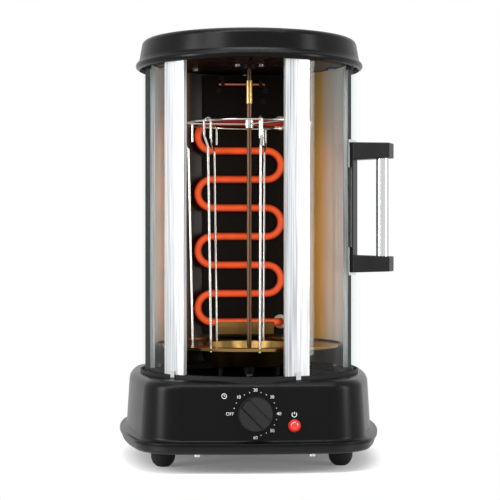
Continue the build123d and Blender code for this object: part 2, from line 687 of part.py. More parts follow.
# ---------------------------------------------------------------- chamber floor
with BuildPart() as floor_pan:
    with BuildSketch(Plane.XZ):
        with BuildLine():
            Polyline(
                (FLOOR_HOLE, FLOOR_Z),
                (FLOOR_PAN, FLOOR_Z),
                (FLOOR_PAN + FLOOR_SHEET, DECK_TOP),
                (FLOOR_FLANGE, DECK_TOP),
                (FLOOR_FLANGE, PAN_FLANGE_TOP),
                (FLOOR_PAN, PAN_FLANGE_TOP),
                (FLOOR_PAN - FLOOR_SHEET, FLOOR_Z + FLOOR_SHEET),
                (FLOOR_HOLE, FLOOR_Z + FLOOR_SHEET),
                close=True,
            )
        make_face()
    revolve(axis=Axis.Z)
    with BuildSketch(Plane.XY.offset(DECK_TOP)):
        with Locations(*tab_places):
            Circle(SCREW / 2 + CLOSE_PLAY)
    extrude(amount=SHEET, mode=Mode.SUBTRACT)
floor_pan.part.label = "floor_pan"
export_step(floor_pan.part, "parts/floor_pan.step")

with BuildPart() as floor_buffers:
    with BuildSketch(Plane.XY.offset(FLOOR_Z + FLOOR_SHEET)):
        with Locations((-BUFFER_X, 0), (BUFFER_X, 0)):
            Circle(BUFFER_RADIUS)
    extrude(amount=BUFFER_HEIGHT)
    fillet(floor_buffers.faces().group_by(Axis.Z)[-1].edges(), 0.8)
floor_buffers.part.label = "floor_buffers"
export_step(floor_buffers.part, "parts/floor_buffers.step")

# ---------------------------------------------------------------- door tracks
with BuildPart() as lower_track:
    with BuildSketch(Plane.XZ):
        with BuildLine():
            Polyline(
                (TRACK_INNER, TRACK_BOTTOM),
                (TRACK_OUTER, TRACK_BOTTOM),
                (TRACK_OUTER, TRACK_TOP),
                (GLASS_OUTER + TRACK_PLAY, TRACK_TOP),
                (GLASS_OUTER + TRACK_PLAY, GROOVE_FLOOR),
                (GLASS_INNER - TRACK_PLAY, GROOVE_FLOOR),
                (GLASS_INNER - TRACK_PLAY, TRACK_TOP),
                (TRACK_INNER, TRACK_TOP),
                close=True,
            )
        make_face()
    revolve(axis=Axis.Z)
lower_track.part.label = "lower_track"
export_step(lower_track.part, "parts/lower_track.step")

with BuildPart() as upper_track:
    with BuildSketch(Plane.XZ):
        with BuildLine():
            Polyline(
                (TRACK_INNER, CHAMBER_TOP),
                (TRACK_OUTER, CHAMBER_TOP),
                (TRACK_OUTER, UPPER_TRACK_BOTTOM),
                (GLASS_OUTER + TRACK_PLAY, UPPER_TRACK_BOTTOM),
                (GLASS_OUTER + TRACK_PLAY, UPPER_GROOVE_ROOF),
                (GLASS_INNER - TRACK_PLAY, UPPER_GROOVE_ROOF),
                (GLASS_INNER - TRACK_PLAY, UPPER_TRACK_BOTTOM),
                (TRACK_INNER, UPPER_TRACK_BOTTOM),
                close=True,
            )
        make_face()
    revolve(axis=Axis.Z)
upper_track.part.label = "upper_track"
export_step(upper_track.part, "parts/upper_track.step")

# ---------------------------------------------------------------- rear shell and liner
with BuildPart() as rear_shell:
    height = SHELL_TOP - DECK_TOP
    extrude(sector(SHELL_INNER, SHELL_OUTER, SHELL_EDGE, 360 - SHELL_EDGE, DECK_TOP), amount=height)
    for start in (SHELL_EDGE, 360 - SHELL_EDGE - SHEET_DEGREES):
        flange = sector(FLANGE_INNER, SHELL_OUTER, start, start + SHEET_DEGREES, LINER_BOTTOM)
        extrude(flange, amount=UPPER_TRACK_BOTTOM - LINER_BOTTOM)
    for azimuth in TAB_AZIMUTHS:
        tab_start = azimuth - TAB_DEGREES / 2
        lower_tab = sector(TAB_FOOT_INNER, SHELL_OUTER, tab_start, tab_start + TAB_DEGREES, PAN_FLANGE_TOP)
        extrude(lower_tab, amount=SHEET)
        upper_tab = sector(TAB_INNER, SHELL_OUTER, tab_start, tab_start + TAB_DEGREES, SHELL_TOP - SHEET)
        extrude(upper_tab, amount=SHEET)
    with BuildSketch(Plane.XY.offset(DECK_TOP)):
        with Locations(*tab_places):
            Circle(SCREW / 2 + CLOSE_PLAY)
    extrude(amount=2 * SHEET + 1, mode=Mode.SUBTRACT)
    with BuildSketch(Plane.XY.offset(SHELL_TOP - 2 * SHEET)):
        with Locations(*upper_tab_places):
            Circle(SCREW / 2 + CLOSE_PLAY)
    extrude(amount=3 * SHEET, mode=Mode.SUBTRACT)
    for i in range(VENT_COUNT):
        azimuth = 180 + (i - (VENT_COUNT - 1) / 2) * VENT_DEGREES
        with BuildSketch(outward_plane(azimuth, SHELL_INNER - 1, VENT_Z)):
            SlotOverall(VENT_HEIGHT, VENT_WIDTH, rotation=90)
        extrude(amount=2 + 2 * SHEET, mode=Mode.SUBTRACT)
rear_shell.part.label = "rear_shell"
export_step(rear_shell.part, "parts/rear_shell.step")

with BuildPart() as liner:
    liner_height = SHELL_TOP - SHEET - LINER_BOTTOM - 2 * CLOSE_PLAY
    liner_plan = sector(
        LINER_OUTER - LINER_SHEET,
        LINER_OUTER,
        LINER_EDGE,
        360 - LINER_EDGE,
        LINER_BOTTOM + HEAD_HEIGHT + CLOSE_PLAY,
    )
    extrude(liner_plan, amount=liner_height - HEAD_HEIGHT)
liner.part.label = "liner"
export_step(liner.part, "parts/liner.step")

with BuildPart() as door_jambs:
    jamb_height = STILE_TOP - STILE_BOTTOM
    for start in (SHELL_EDGE - SHEET_DEGREES, -SHELL_EDGE):
        jamb = sector(FLANGE_INNER, JAMB_OUTER, start, start + SHEET_DEGREES, STILE_BOTTOM)
        extrude(jamb, amount=jamb_height)
door_jambs.part.label = "door_jambs"
export_step(door_jambs.part, "parts/door_jambs.step")

with BuildPart() as door_seals:
    left = (JAMB_OUTER, LEFT_SEAL_OUTER, -SHELL_EDGE, -SHELL_EDGE + SEAL_DEGREES)
    extrude(sector(*left, STILE_BOTTOM), amount=jamb_height)
    right = (JAMB_OUTER, RIGHT_SEAL_OUTER, SHELL_EDGE - SEAL_DEGREES, SHELL_EDGE)
    extrude(sector(*right, STILE_BOTTOM), amount=jamb_height)
door_seals.part.label = "door_seals"
export_step(door_seals.part, "parts/door_seals.step")

# ---------------------------------------------------------------- heater
with BuildPart() as heater_panel:
    with BuildSketch(Plane.XZ.offset(-PANEL_Y)):
        with Locations((0, (PANEL_BOTTOM + PANEL_TOP) / 2)):
            Rectangle(2 * PANEL_HALF_WIDTH, PANEL_TOP - PANEL_BOTTOM)
        tube_x = HEATER_X + HEATER_HALF_WIDTH - HEATER_TUBE / 2
        with Locations((tube_x, HEATER_TOP), (tube_x, HEATER_BOTTOM)):
            Circle(BUSH_RADIUS - 2, mode=Mode.SUBTRACT)
        with Locations(*PANEL_SCREWS):
            Circle(SCREW / 2 + CLOSE_PLAY, mode=Mode.SUBTRACT)
    extrude(amount=-SHEET)
heater_panel.part.label = "heater_panel"
export_step(heater_panel.part, "parts/heater_panel.step")

with BuildPart() as panel_screws:
    with BuildSketch(Plane.XZ.offset(-PANEL_Y)):
        with Locations(*PANEL_SCREWS):
            Circle(SCREW / 2)
    extrude(amount=-6)
    with BuildSketch(Plane.XZ.offset(-PANEL_Y)):
        with Locations(*PANEL_SCREWS):
            Circle(HEAD_RADIUS - 0.5)
    extrude(amount=HEAD_HEIGHT)
panel_screws.part.label = "panel_screws"
export_step(panel_screws.part, "parts/panel_screws.step")

run_half = HEATER_HALF_WIDTH - HEATER_TUBE / 2
heater_points = [(HEATER_X + run_half, PANEL_Y + HEATER_TAIL, HEATER_TOP)]
for run in range(HEATER_RUNS):
    run_z = HEATER_TOP - run * HEATER_PITCH
    side = 1 if run % 2 == 0 else -1
    heater_points.append((HEATER_X + side * run_half, HEATER_Y, run_z))
    heater_points.append((HEATER_X - side * run_half, HEATER_Y, run_z))
heater_points.append((HEATER_X + run_half, PANEL_Y + HEATER_TAIL, HEATER_BOTTOM))
bend_radius = HEATER_PITCH / 2 - CLOSE_PLAY
heater_bends = [HEATER_TAIL_BEND] + [bend_radius] * (2 * HEATER_RUNS - 2) + [HEATER_TAIL_BEND]
with BuildPart() as heater_element:
    with BuildLine():
        heater_path = FilletPolyline(*heater_points, radius=heater_bends)
    with BuildSketch(Plane(origin=heater_path @ 0, z_dir=heater_path % 0)):
        Circle(HEATER_TUBE / 2)
    sweep()
heater_element.part.label = "heater_element"
export_step(heater_element.part, "parts/heater_element.step")

with BuildPart() as heater_bushes:
    with BuildSketch(Plane.XZ.offset(-PANEL_Y)):
        with Locations((tube_x, HEATER_TOP), (tube_x, HEATER_BOTTOM)):
            Circle(BUSH_RADIUS)
            Circle(HEATER_TUBE / 2 + CLOSE_PLAY, mode=Mode.SUBTRACT)
    extrude(amount=BUSH_PROUD)
    with BuildSketch(Plane.XZ.offset(-PANEL_Y)):
        with Locations((tube_x, HEATER_TOP), (tube_x, HEATER_BOTTOM)):
            Circle(BUSH_RADIUS - 2 - CLOSE_PLAY)
            Circle(HEATER_TUBE / 2 + CLOSE_PLAY, mode=Mode.SUBTRACT)
    extrude(amount=-HEATER_TAIL)
heater_bushes.part.label = "heater_bushes"
export_step(heater_bushes.part, "parts/heater_bushes.step")

with BuildPart() as heater_support:
    front_y = HEATER_Y - HEATER_TUBE / 2 - SUPPORT_GAP
    low_z = HEATER_BOTTOM - HEATER_TUBE / 2 - SUPPORT_GAP
    with BuildSketch(Plane.YZ.offset(SUPPORT_X - SUPPORT_WIDTH / 2)):
        with BuildLine():
            Polyline(
                (PANEL_Y, low_z - SUPPORT_LEG),
                (PANEL_Y, low_z),
                (front_y, low_z),
                (front_y, low_z + 5),
                (front_y - SHEET, low_z + 5),
                (front_y - SHEET, low_z - SHEET),
                (PANEL_Y - SHEET, low_z - SHEET),
                (PANEL_Y - SHEET, low_z - SUPPORT_LEG),
                close=True,
            )
        make_face()
    extrude(amount=SUPPORT_WIDTH)
heater_support.part.label = "heater_support"
export_step(heater_support.part, "parts/heater_support.step")

with BuildPart() as sensor_rod:
    with BuildSketch(Plane.YZ.offset(ROD_LEFT)):
        with Locations((ROD_Y, ROD_Z)):
            Circle(ROD_RADIUS)
    extrude(amount=ROD_RIGHT - ROD_LEFT)
    fillet(sensor_rod.edges().filter_by(GeomType.CIRCLE), 1)
sensor_rod.part.label = "sensor_rod"
export_step(sensor_rod.part, "parts/sensor_rod.step")

with BuildPart() as rod_clips:
    with BuildSketch(Plane.XZ.offset(-PANEL_Y)):
        with Locations((ROD_LEFT + 5, ROD_Z), (ROD_RIGHT - 5, ROD_Z)):
            RectangleRounded(4, 2 * ROD_RADIUS + 3, 1)
    extrude(amount=PANEL_Y - ROD_Y + ROD_RADIUS + 1)
    with BuildSketch(Plane.YZ.offset(ROD_LEFT)):
        with Locations((ROD_Y, ROD_Z)):
            Circle(ROD_RADIUS + CLOSE_PLAY)
    extrude(amount=ROD_RIGHT - ROD_LEFT, mode=Mode.SUBTRACT)
rod_clips.part.label = "rod_clips"
export_step(rod_clips.part, "parts/rod_clips.step")

# ---------------------------------------------------------------- fixed pane and its post
post_start = POST_AZIMUTH - STILE_HALF
post_end = POST_AZIMUTH + STILE_HALF
stile_start = STILE_AZIMUTH - STILE_HALF
stile_end = STILE_AZIMUTH + STILE_HALF
stile_height = STILE_TOP - STILE_BOTTOM
glass_height = GLASS_TOP - GLASS_BOTTOM
slot_inner = GLASS_INNER - CLOSE_PLAY
slot_outer = GLASS_OUTER + CLOSE_PLAY

with BuildPart() as left_post:
    extrude(sector(STILE_INNER, STILE_OUTER, post_start, post_end, STILE_BOTTOM), amount=stile_height)
    slot = sector(slot_inner, slot_outer, post_start, post_start + BITE_DEGREES, STILE_BOTTOM)
    extrude(slot, amount=stile_height, mode=Mode.SUBTRACT)
left_post.part.label = "left_post"
export_step(left_post.part, "parts/left_post.step")

with BuildPart() as left_pane:
    pane_end = post_start + BITE_DEGREES - EDGE_DEGREES
    extrude(sector(GLASS_INNER, GLASS_OUTER, LEFT_PANE_TAIL, pane_end, GLASS_BOTTOM), amount=glass_height)
left_pane.part.label = "left_pane"
export_step(left_pane.part, "parts/left_pane.step")

# ---------------------------------------------------------------- sliding door
with BuildPart() as door_stile:
    extrude(sector(STILE_INNER, STILE_OUTER, stile_start, stile_end, STILE_BOTTOM), amount=stile_height)
    slot = sector(slot_inner, slot_outer, stile_end - BITE_DEGREES, stile_end, STILE_BOTTOM)
    extrude(slot, amount=stile_height, mode=Mode.SUBTRACT)
door_stile.part.label = "door_stile"
export_step(door_stile.part, "parts/door_stile.step")

pane_start = stile_end - BITE_DEGREES + EDGE_DEGREES
with BuildPart() as door_pane:
    extrude(sector(GLASS_INNER, GLASS_OUTER, pane_start, DOOR_TAIL, GLASS_BOTTOM), amount=glass_height)
door_pane.part.label = "door_pane"
export_step(door_pane.part, "parts/door_pane.step")


def track_guides(azimuth, clip_azimuth):
    """Glide under a stile, glide over it and the clip that hooks down outside the lower track."""
    with BuildPart() as guides:
        glide = (GLASS_INNER, GLASS_OUTER, azimuth - GLIDE_HALF, azimuth + GLIDE_HALF)
        glide_foot = GROOVE_FLOOR + GLASS_END_PLAY
        extrude(sector(*glide, glide_foot), amount=STILE_BOTTOM - glide_foot)
        extrude(sector(*glide, STILE_TOP), amount=UPPER_GROOVE_ROOF - GLASS_END_PLAY - STILE_TOP)
        clip_inner = TRACK_OUTER + TRACK_PLAY
        clip = (clip_azimuth - CLIP_HALF, clip_azimuth + CLIP_HALF)
        extrude(sector(STILE_OUTER, CLIP_OUTER, *clip, STILE_BOTTOM), amount=CLIP_TOP - STILE_BOTTOM)
        extrude(sector(clip_inner, CLIP_OUTER, *clip, CLIP_DROP), amount=STILE_BOTTOM - CLIP_DROP)
    return guides


with BuildPart() as door_guides:
    add(track_guides(STILE_AZIMUTH - STILE_HALF / 2, STILE_AZIMUTH).part)
    for azimuth in (DOOR_TAIL - 4, (DOOR_TAIL + STILE_AZIMUTH) / 2):
        glide = (GLASS_INNER, GLASS_OUTER, azimuth - GLIDE_HALF, azimuth + GLIDE_HALF)
        extrude(sector(*glide, GROOVE_FLOOR + GLASS_END_PLAY), amount=GLASS_END_PLAY)
        extrude(sector(*glide, GLASS_TOP), amount=GLASS_END_PLAY)
door_guides.part.label = "door_guides"
export_step(door_guides.part, "parts/door_guides.step")

post_guides = track_guides(POST_AZIMUTH + STILE_HALF / 2, POST_AZIMUTH)
post_guides.part.label = "post_guides"
export_step(post_guides.part, "parts/post_guides.step")

# ---------------------------------------------------------------- door handle
handle_side = radial_plane(HANDLE_AZIMUTH)
handle_face = outward_plane(HANDLE_AZIMUTH, 0, 0)
pad_outer = GLASS_OUTER + PAD_THICK
plate_outer = pad_outer + BACKPLATE_THICK


def handle_block(outer_z, sense):
    """End block of the handle: full height at the root, lower towards the tip on its inner side."""
    with BuildPart() as block:
        with BuildSketch(handle_side):
            with BuildLine():
                Polyline(
                    (plate_outer, outer_z),
                    (HANDLE_REACH, outer_z - sense * (BLOCK_ROOT_HEIGHT - BLOCK_TIP_HEIGHT) / 2),
                    (HANDLE_REACH, outer_z - sense * (BLOCK_ROOT_HEIGHT + BLOCK_TIP_HEIGHT) / 2),
                    (plate_outer, outer_z - sense * BLOCK_ROOT_HEIGHT),
                    close=True,
                )
            make_face()
        extrude(amount=BLOCK_WIDTH / 2, both=True)
        fillet(block.edges(), 1.2)
        tube_place = around(HANDLE_TUBE_RADIUS, HANDLE_AZIMUTH)[:2]
        inner_z = outer_z - sense * BLOCK_ROOT_HEIGHT
        with BuildSketch(Plane.XY.offset(inner_z)):
            with Locations(tube_place):
                Circle(HANDLE_TUBE / 2 + CLOSE_PLAY)
        extrude(amount=sense * TUBE_SOCKET, mode=Mode.SUBTRACT)
    return block


with BuildPart() as handle_blocks:
    add(handle_block(HANDLE_TOP, 1).part)
    add(handle_block(HANDLE_BOTTOM, -1).part)
handle_blocks.part.label = "handle_blocks"
export_step(handle_blocks.part, "parts/handle_blocks.step")

tube_low = HANDLE_BOTTOM + BLOCK_ROOT_HEIGHT - TUBE_SOCKET + CLOSE_PLAY
tube_high = HANDLE_TOP - BLOCK_ROOT_HEIGHT + TUBE_SOCKET - CLOSE_PLAY
with BuildPart() as handle_tube:
    with BuildSketch(Plane.XY.offset(tube_low)):
        with Locations(around(HANDLE_TUBE_RADIUS, HANDLE_AZIMUTH)[:2]):
            Circle(HANDLE_TUBE / 2)
            Circle(HANDLE_TUBE / 2 - HANDLE_TUBE_WALL, mode=Mode.SUBTRACT)
    extrude(amount=tube_high - tube_low)
handle_tube.part.label = "handle_tube"
export_step(handle_tube.part, "parts/handle_tube.step")

with BuildPart() as handle_backplate:
    with BuildSketch(handle_side):
        with Locations(((pad_outer + plate_outer) / 2, (HANDLE_TOP + HANDLE_BOTTOM) / 2)):
            Rectangle(BACKPLATE_THICK, HANDLE_TOP - HANDLE_BOTTOM)
    extrude(amount=BACKPLATE_WIDTH / 2, both=True)
handle_backplate.part.label = "handle_backplate"
export_step(handle_backplate.part, "parts/handle_backplate.step")

pad_half = math.degrees(PAD_WIDTH / 2 / GLASS_OUTER)
with BuildPart() as handle_pads:
    for pad_z in (HANDLE_BOTTOM - PAD_OVERLAP, HANDLE_TOP + PAD_OVERLAP - PAD_HEIGHT):
        pad_span = (HANDLE_AZIMUTH - pad_half, HANDLE_AZIMUTH + pad_half)
        extrude(sector(GLASS_OUTER + CLOSE_PLAY, pad_outer, *pad_span, pad_z), amount=PAD_HEIGHT)
    with BuildSketch(handle_side):
        with Locations(((pad_outer + plate_outer) / 2, (HANDLE_TOP + HANDLE_BOTTOM) / 2)):
            Rectangle(BACKPLATE_THICK + 0.4, 2 * HANDLE_TOP)
    extrude(amount=BACKPLATE_WIDTH / 2 + CLOSE_PLAY, both=True, mode=Mode.SUBTRACT)
handle_pads.part.label = "handle_pads"
export_step(handle_pads.part, "parts/handle_pads.step")

# ---------------------------------------------------------------- carousel
with BuildPart() as motor_shaft:
    with BuildSketch(Plane.XY.offset(GEARBOX_BOTTOM + 4)):
        Circle(MOTOR_SHAFT / 2)
    extrude(amount=MOTOR_SHAFT_TOP - GEARBOX_BOTTOM - 4)
motor_shaft.part.label = "motor_shaft"
export_step(motor_shaft.part, "parts/motor_shaft.step")

with BuildPart() as drive_hub:
    with BuildSketch(Plane.XY.offset(HUB_BOTTOM)):
        Circle(HUB_RADIUS)
    extrude(amount=WELL_FLOOR_Z - HUB_BOTTOM)
    with BuildSketch(Plane.XY.offset(WELL_FLOOR_Z)):
        Circle(HUB_RADIUS - 1.5)
    extrude(amount=HUB_TOP - WELL_FLOOR_Z)
    with BuildSketch(Plane.XY.offset(HUB_BOTTOM)):
        Circle(MOTOR_SHAFT / 2 + CLOSE_PLAY)
    extrude(amount=MOTOR_SHAFT_TOP + CLOSE_PLAY - HUB_BOTTOM, mode=Mode.SUBTRACT)
    with BuildSketch(Plane.XY.offset(HUB_TOP)):
        Circle(SHAFT / 2 + CLOSE_PLAY)
    extrude(amount=-(HUB_TOP - MOTOR_SHAFT_TOP - 3), mode=Mode.SUBTRACT)
drive_hub.part.label = "drive_hub"
export_step(drive_hub.part, "parts/drive_hub.step")

with BuildPart() as centre_shaft:
    with BuildSketch(Plane.XY.offset(MOTOR_SHAFT_TOP + 3 + CLOSE_PLAY)):
        Circle(SHAFT / 2)
    extrude(amount=SHAFT_TOP - MOTOR_SHAFT_TOP - 3 - CLOSE_PLAY)
centre_shaft.part.label = "centre_shaft"
export_step(centre_shaft.part, "parts/centre_shaft.step")

with BuildPart() as shaft_collar:
    with BuildSketch(Plane.XY.offset(COLLAR_BOTTOM)):
        Circle(COLLAR_RADIUS)
        Circle(SHAFT / 2 + CLOSE_PLAY, mode=Mode.SUBTRACT)
    extrude(amount=COLLAR_TOP - COLLAR_BOTTOM)
shaft_collar.part.label = "shaft_collar"
export_step(shaft_collar.part, "parts/shaft_collar.step")

with BuildPart() as drip_dish:
    with BuildSketch(Plane.XZ):
        with BuildLine():
            Polyline(
                (HUB_RADIUS - 1.5 + CLOSE_PLAY, WELL_FLOOR_Z),
                (WELL_FLOOR_RADIUS, WELL_FLOOR_Z),
                (WELL_TOP_RADIUS, DISH_Z - DISH_SHEET),
                (DISH_RADIUS, DISH_Z - DISH_SHEET),
                (DISH_RADIUS + DISH_LIP / 2, DISH_Z + DISH_LIP),
                (DISH_RADIUS + DISH_LIP / 2 - DISH_SHEET, DISH_Z + DISH_LIP),
                (DISH_RADIUS - DISH_SHEET, DISH_Z),
                (WELL_TOP_RADIUS - DISH_SHEET, DISH_Z),
                (WELL_FLOOR_RADIUS - DISH_SHEET, WELL_FLOOR_Z + DISH_SHEET),
                (HUB_RADIUS - 1.5 + CLOSE_PLAY, WELL_FLOOR_Z + DISH_SHEET),
                close=True,
            )
        make_face()
    revolve(axis=Axis.Z)
    with BuildSketch(Plane.XY.offset(DISH_Z)):
        with PolarLocations(SKEWER_FOOT_RADIUS, SKEWERS, start_angle=SKEWER_FIRST - 90):
            Circle(SKEWER_HOLE)
    extrude(amount=-DISH_SHEET, mode=Mode.SUBTRACT)
drip_dish.part.label = "drip_dish"
export_step(drip_dish.part, "parts/drip_dish.step")

with BuildPart() as dish_nut:
    with BuildSketch(Plane.XY.offset(WELL_FLOOR_Z + DISH_SHEET)):
        RegularPolygon(HUB_RADIUS + 2, 6)
        Circle(HUB_RADIUS - 1.5 + CLOSE_PLAY, mode=Mode.SUBTRACT)
    extrude(amount=4)
dish_nut.part.label = "dish_nut"
export_step(dish_nut.part, "parts/dish_nut.step")

with BuildPart() as skewer_ring:
    with BuildSketch(Plane.XZ):
        with Locations((RING_RADIUS, RING_Z)):
            Circle(RING_WIRE / 2)
    revolve(axis=Axis.Z)
    with BuildSketch(Plane.XY.offset(RING_Z - RING_HUB_HEIGHT / 2)):
        Circle(RING_HUB_RADIUS)
    extrude(amount=RING_HUB_HEIGHT)
    for i in range(SPOKES):
        azimuth = SKEWER_FIRST + 180 / SKEWERS + i * 360 / SPOKES
        with BuildSketch(outward_plane(azimuth, SHAFT / 2, RING_Z)):
            Circle(SPOKE_WIRE / 2)
        extrude(amount=RING_RADIUS - SHAFT / 2)
    with BuildSketch(Plane.XY.offset(RING_Z - RING_HUB_HEIGHT)):
        Circle(SHAFT / 2 + CLOSE_PLAY)
    extrude(amount=2 * RING_HUB_HEIGHT, mode=Mode.SUBTRACT)
skewer_ring.part.label = "skewer_ring"
export_step(skewer_ring.part, "parts/skewer_ring.step")

# ---------------------------------------------------------------- skewers
skewer_points = [
    (SKEWER_FOOT_RADIUS, SKEWER_FOOT_Z),
    (SKEWER_NECK_RADIUS, SKEWER_NECK_Z),
    (HOOK_RADIUS + HOOK_HALF_WIDTH, HOOK_SHOULDER_Z),
    (HOOK_RADIUS + HOOK_HALF_WIDTH, HOOK_CENTRE_Z + HOOK_HALF_WIDTH),
    (HOOK_RADIUS - HOOK_HALF_WIDTH, HOOK_CENTRE_Z + HOOK_HALF_WIDTH),
    (HOOK_RADIUS - HOOK_HALF_WIDTH, HOOK_TIP_Z),
]
hook_bend = HOOK_HALF_WIDTH - CLOSE_PLAY
skewer_bends = [SKEWER_WIRE * 2, SKEWER_WIRE * 2, hook_bend, hook_bend]
for i in range(SKEWERS):
    skewer_side = radial_plane(SKEWER_FIRST + i * 360 / SKEWERS)
    with BuildPart() as skewer:
        with BuildLine(skewer_side):
            wire = FilletPolyline(*skewer_points, radius=skewer_bends)
        with BuildSketch(Plane(origin=wire @ 0, z_dir=wire % 0)):
            Circle(SKEWER_WIRE / 2)
        sweep()
    skewer.part.label = f"skewer_{i + 1}"
    export_step(skewer.part, f"parts/skewer_{i + 1}.step")

# ---------------------------------------------------------------- lid
rim_inner = TRACK_OUTER + 2 * TRACK_PLAY
bead_join = (rim_inner + 1.6, BEAD_Z + BEAD_SIZE - 0.4)
skirt_foot = (SKIRT_FOOT, SKIRT_FOOT_Z)
lid_shoulder = (LID_SHOULDER, LID_TOP - LID_CROWN)
inner_shoulder = (LID_SHOULDER - LID_SHEET, LID_TOP - LID_CROWN - LID_SHEET)
with BuildPart() as lid:
    with BuildSketch(Plane.XZ) as lid_profile:
        with BuildLine():
            Polyline((0, LID_TOP - LID_SHEET), (0, LID_TOP), lid_shoulder, skirt_foot, bead_join)
            ThreePointArc(bead_join, (rim_inner + BEAD_SIZE, BEAD_Z), (rim_inner, BEAD_Z - BEAD_SIZE))
            Polyline(
                (rim_inner, BEAD_Z - BEAD_SIZE),
                (rim_inner, BEAD_Z + BEAD_SIZE),
                (SKIRT_FOOT - LID_SHEET, SKIRT_FOOT_Z + 1),
                inner_shoulder,
                (0, LID_TOP - LID_SHEET),
            )
        make_face()
        inner_corner = lid_profile.vertices().sort_by_distance(inner_shoulder)[0]
        fillet(inner_corner, LID_SHOULDER_ROUND - LID_SHEET)
        fillet(lid_profile.vertices().sort_by_distance(lid_shoulder)[0], LID_SHOULDER_ROUND)
    revolve(axis=Axis.Z)
    pillar_foot = CHAMBER_TOP + SHEET
    with BuildSketch(Plane.XY.offset(pillar_foot)):
        with Locations(*pillar_places):
            Circle(PILLAR_RADIUS)
    extrude(amount=LID_TOP - LID_CROWN - LID_SHEET - pillar_foot + 0.6)
    with BuildSketch(Plane.XY.offset(pillar_foot)):
        with Locations(*pillar_places):
            Circle(SCREW / 2 + CLOSE_PLAY)
    extrude(amount=16, mode=Mode.SUBTRACT)
lid.part.label = "lid"
export_step(lid.part, "parts/lid.step")

with BuildPart() as lid_pan:
    with BuildSketch(Plane.XY.offset(CHAMBER_TOP)):
        Circle(SKIRT_FOOT - 2 * LID_SHEET)
        with Locations(*pillar_places, *bearing_places, *upper_tab_places):
            Circle(SCREW / 2 + CLOSE_PLAY, mode=Mode.SUBTRACT)
        with PolarLocations(40, 12):
            SlotOverall(VENT_HEIGHT, VENT_WIDTH, mode=Mode.SUBTRACT)
    extrude(amount=SHEET)
lid_pan.part.label = "lid_pan"
export_step(lid_pan.part, "parts/lid_pan.step")

with BuildPart() as top_bearing:
    with BuildSketch(Plane.XY.offset(CHAMBER_TOP)):
        Circle(BEARING_FLANGE)
        with Locations(*bearing_places):
            Circle(SCREW / 2 + CLOSE_PLAY, mode=Mode.SUBTRACT)
    extrude(amount=-BEARING_FLANGE_THICK)
    with BuildSketch(Plane.XY.offset(CHAMBER_TOP)):
        Circle(BEARING_RADIUS)
    extrude(amount=-BEARING_LENGTH)
    with BuildSketch(Plane.XY.offset(CHAMBER_TOP)):
        Circle(SHAFT / 2 + CLOSE_PLAY)
    extrude(amount=-BEARING_LENGTH, mode=Mode.SUBTRACT)
top_bearing.part.label = "top_bearing"
export_step(top_bearing.part, "parts/top_bearing.step")

bearing_seat = CHAMBER_TOP - BEARING_FLANGE_THICK
with BuildPart() as chamber_screws:
    add(pan_screws(tab_places, LINER_BOTTOM, LINER_BOTTOM - DECK_BOTTOM, up=False).part)
    add(pan_screws(upper_tab_places, SHELL_TOP - SHEET, 3 * SHEET + 2).part)
    add(pan_screws(pillar_places, CHAMBER_TOP, SHEET + 12).part)
    add(pan_screws(bearing_places, bearing_seat, BEARING_FLANGE_THICK + SHEET + 3).part)
chamber_screws.part.label = "chamber_screws"
export_step(chamber_screws.part, "parts/chamber_screws.step")
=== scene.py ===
"""Looks of an upright electric skewer grill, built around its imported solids.

The frame is metres, Z up, with the front face towards -Y and the origin on the
table under the axis that the skewers turn about.
"""

import logging
import math
from dataclasses import dataclass, field
from enum import Enum
from typing import Protocol

import bmesh
import bpy
from mathutils import Matrix, Vector


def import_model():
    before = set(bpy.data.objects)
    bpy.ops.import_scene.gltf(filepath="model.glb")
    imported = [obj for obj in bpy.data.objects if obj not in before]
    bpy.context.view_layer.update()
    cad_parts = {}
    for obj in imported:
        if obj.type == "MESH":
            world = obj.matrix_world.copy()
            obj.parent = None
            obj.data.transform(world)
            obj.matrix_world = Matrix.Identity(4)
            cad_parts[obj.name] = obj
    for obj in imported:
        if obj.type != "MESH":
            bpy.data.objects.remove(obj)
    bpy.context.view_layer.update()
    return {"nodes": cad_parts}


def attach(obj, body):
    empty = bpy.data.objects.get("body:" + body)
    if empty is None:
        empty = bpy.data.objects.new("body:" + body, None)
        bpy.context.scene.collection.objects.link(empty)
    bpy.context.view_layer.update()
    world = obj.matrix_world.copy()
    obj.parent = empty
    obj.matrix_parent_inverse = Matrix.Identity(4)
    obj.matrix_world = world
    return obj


LOG = logging.getLogger("skewer_grill")

Material = bpy.types.Material
Socket = bpy.types.NodeSocket

MM = 0.001
FACE_TILT = math.radians(3.5)
WHITE = (1.0, 1.0, 1.0, 1.0)


def linear(hex_colour: str) -> tuple[float, float, float, float]:
    """Turn an sRGB hex colour into linear RGBA.

    Args:
        hex_colour: Six hex digits, such as "1a1a1c".

    Returns:
        The linear colour with an alpha of 1.
    """
    channels = [int(hex_colour[i : i + 2], 16) / 255 for i in (0, 2, 4)]
    red, green, blue = (
        c / 12.92 if c <= 0.04045 else ((c + 0.055) / 1.055) ** 2.4 for c in channels
    )
    return (red, green, blue, 1.0)


def per_metre(millimetres: float) -> float:
    """Texture scale that repeats once in this many millimetres."""
    return 1.0 / (millimetres * MM)


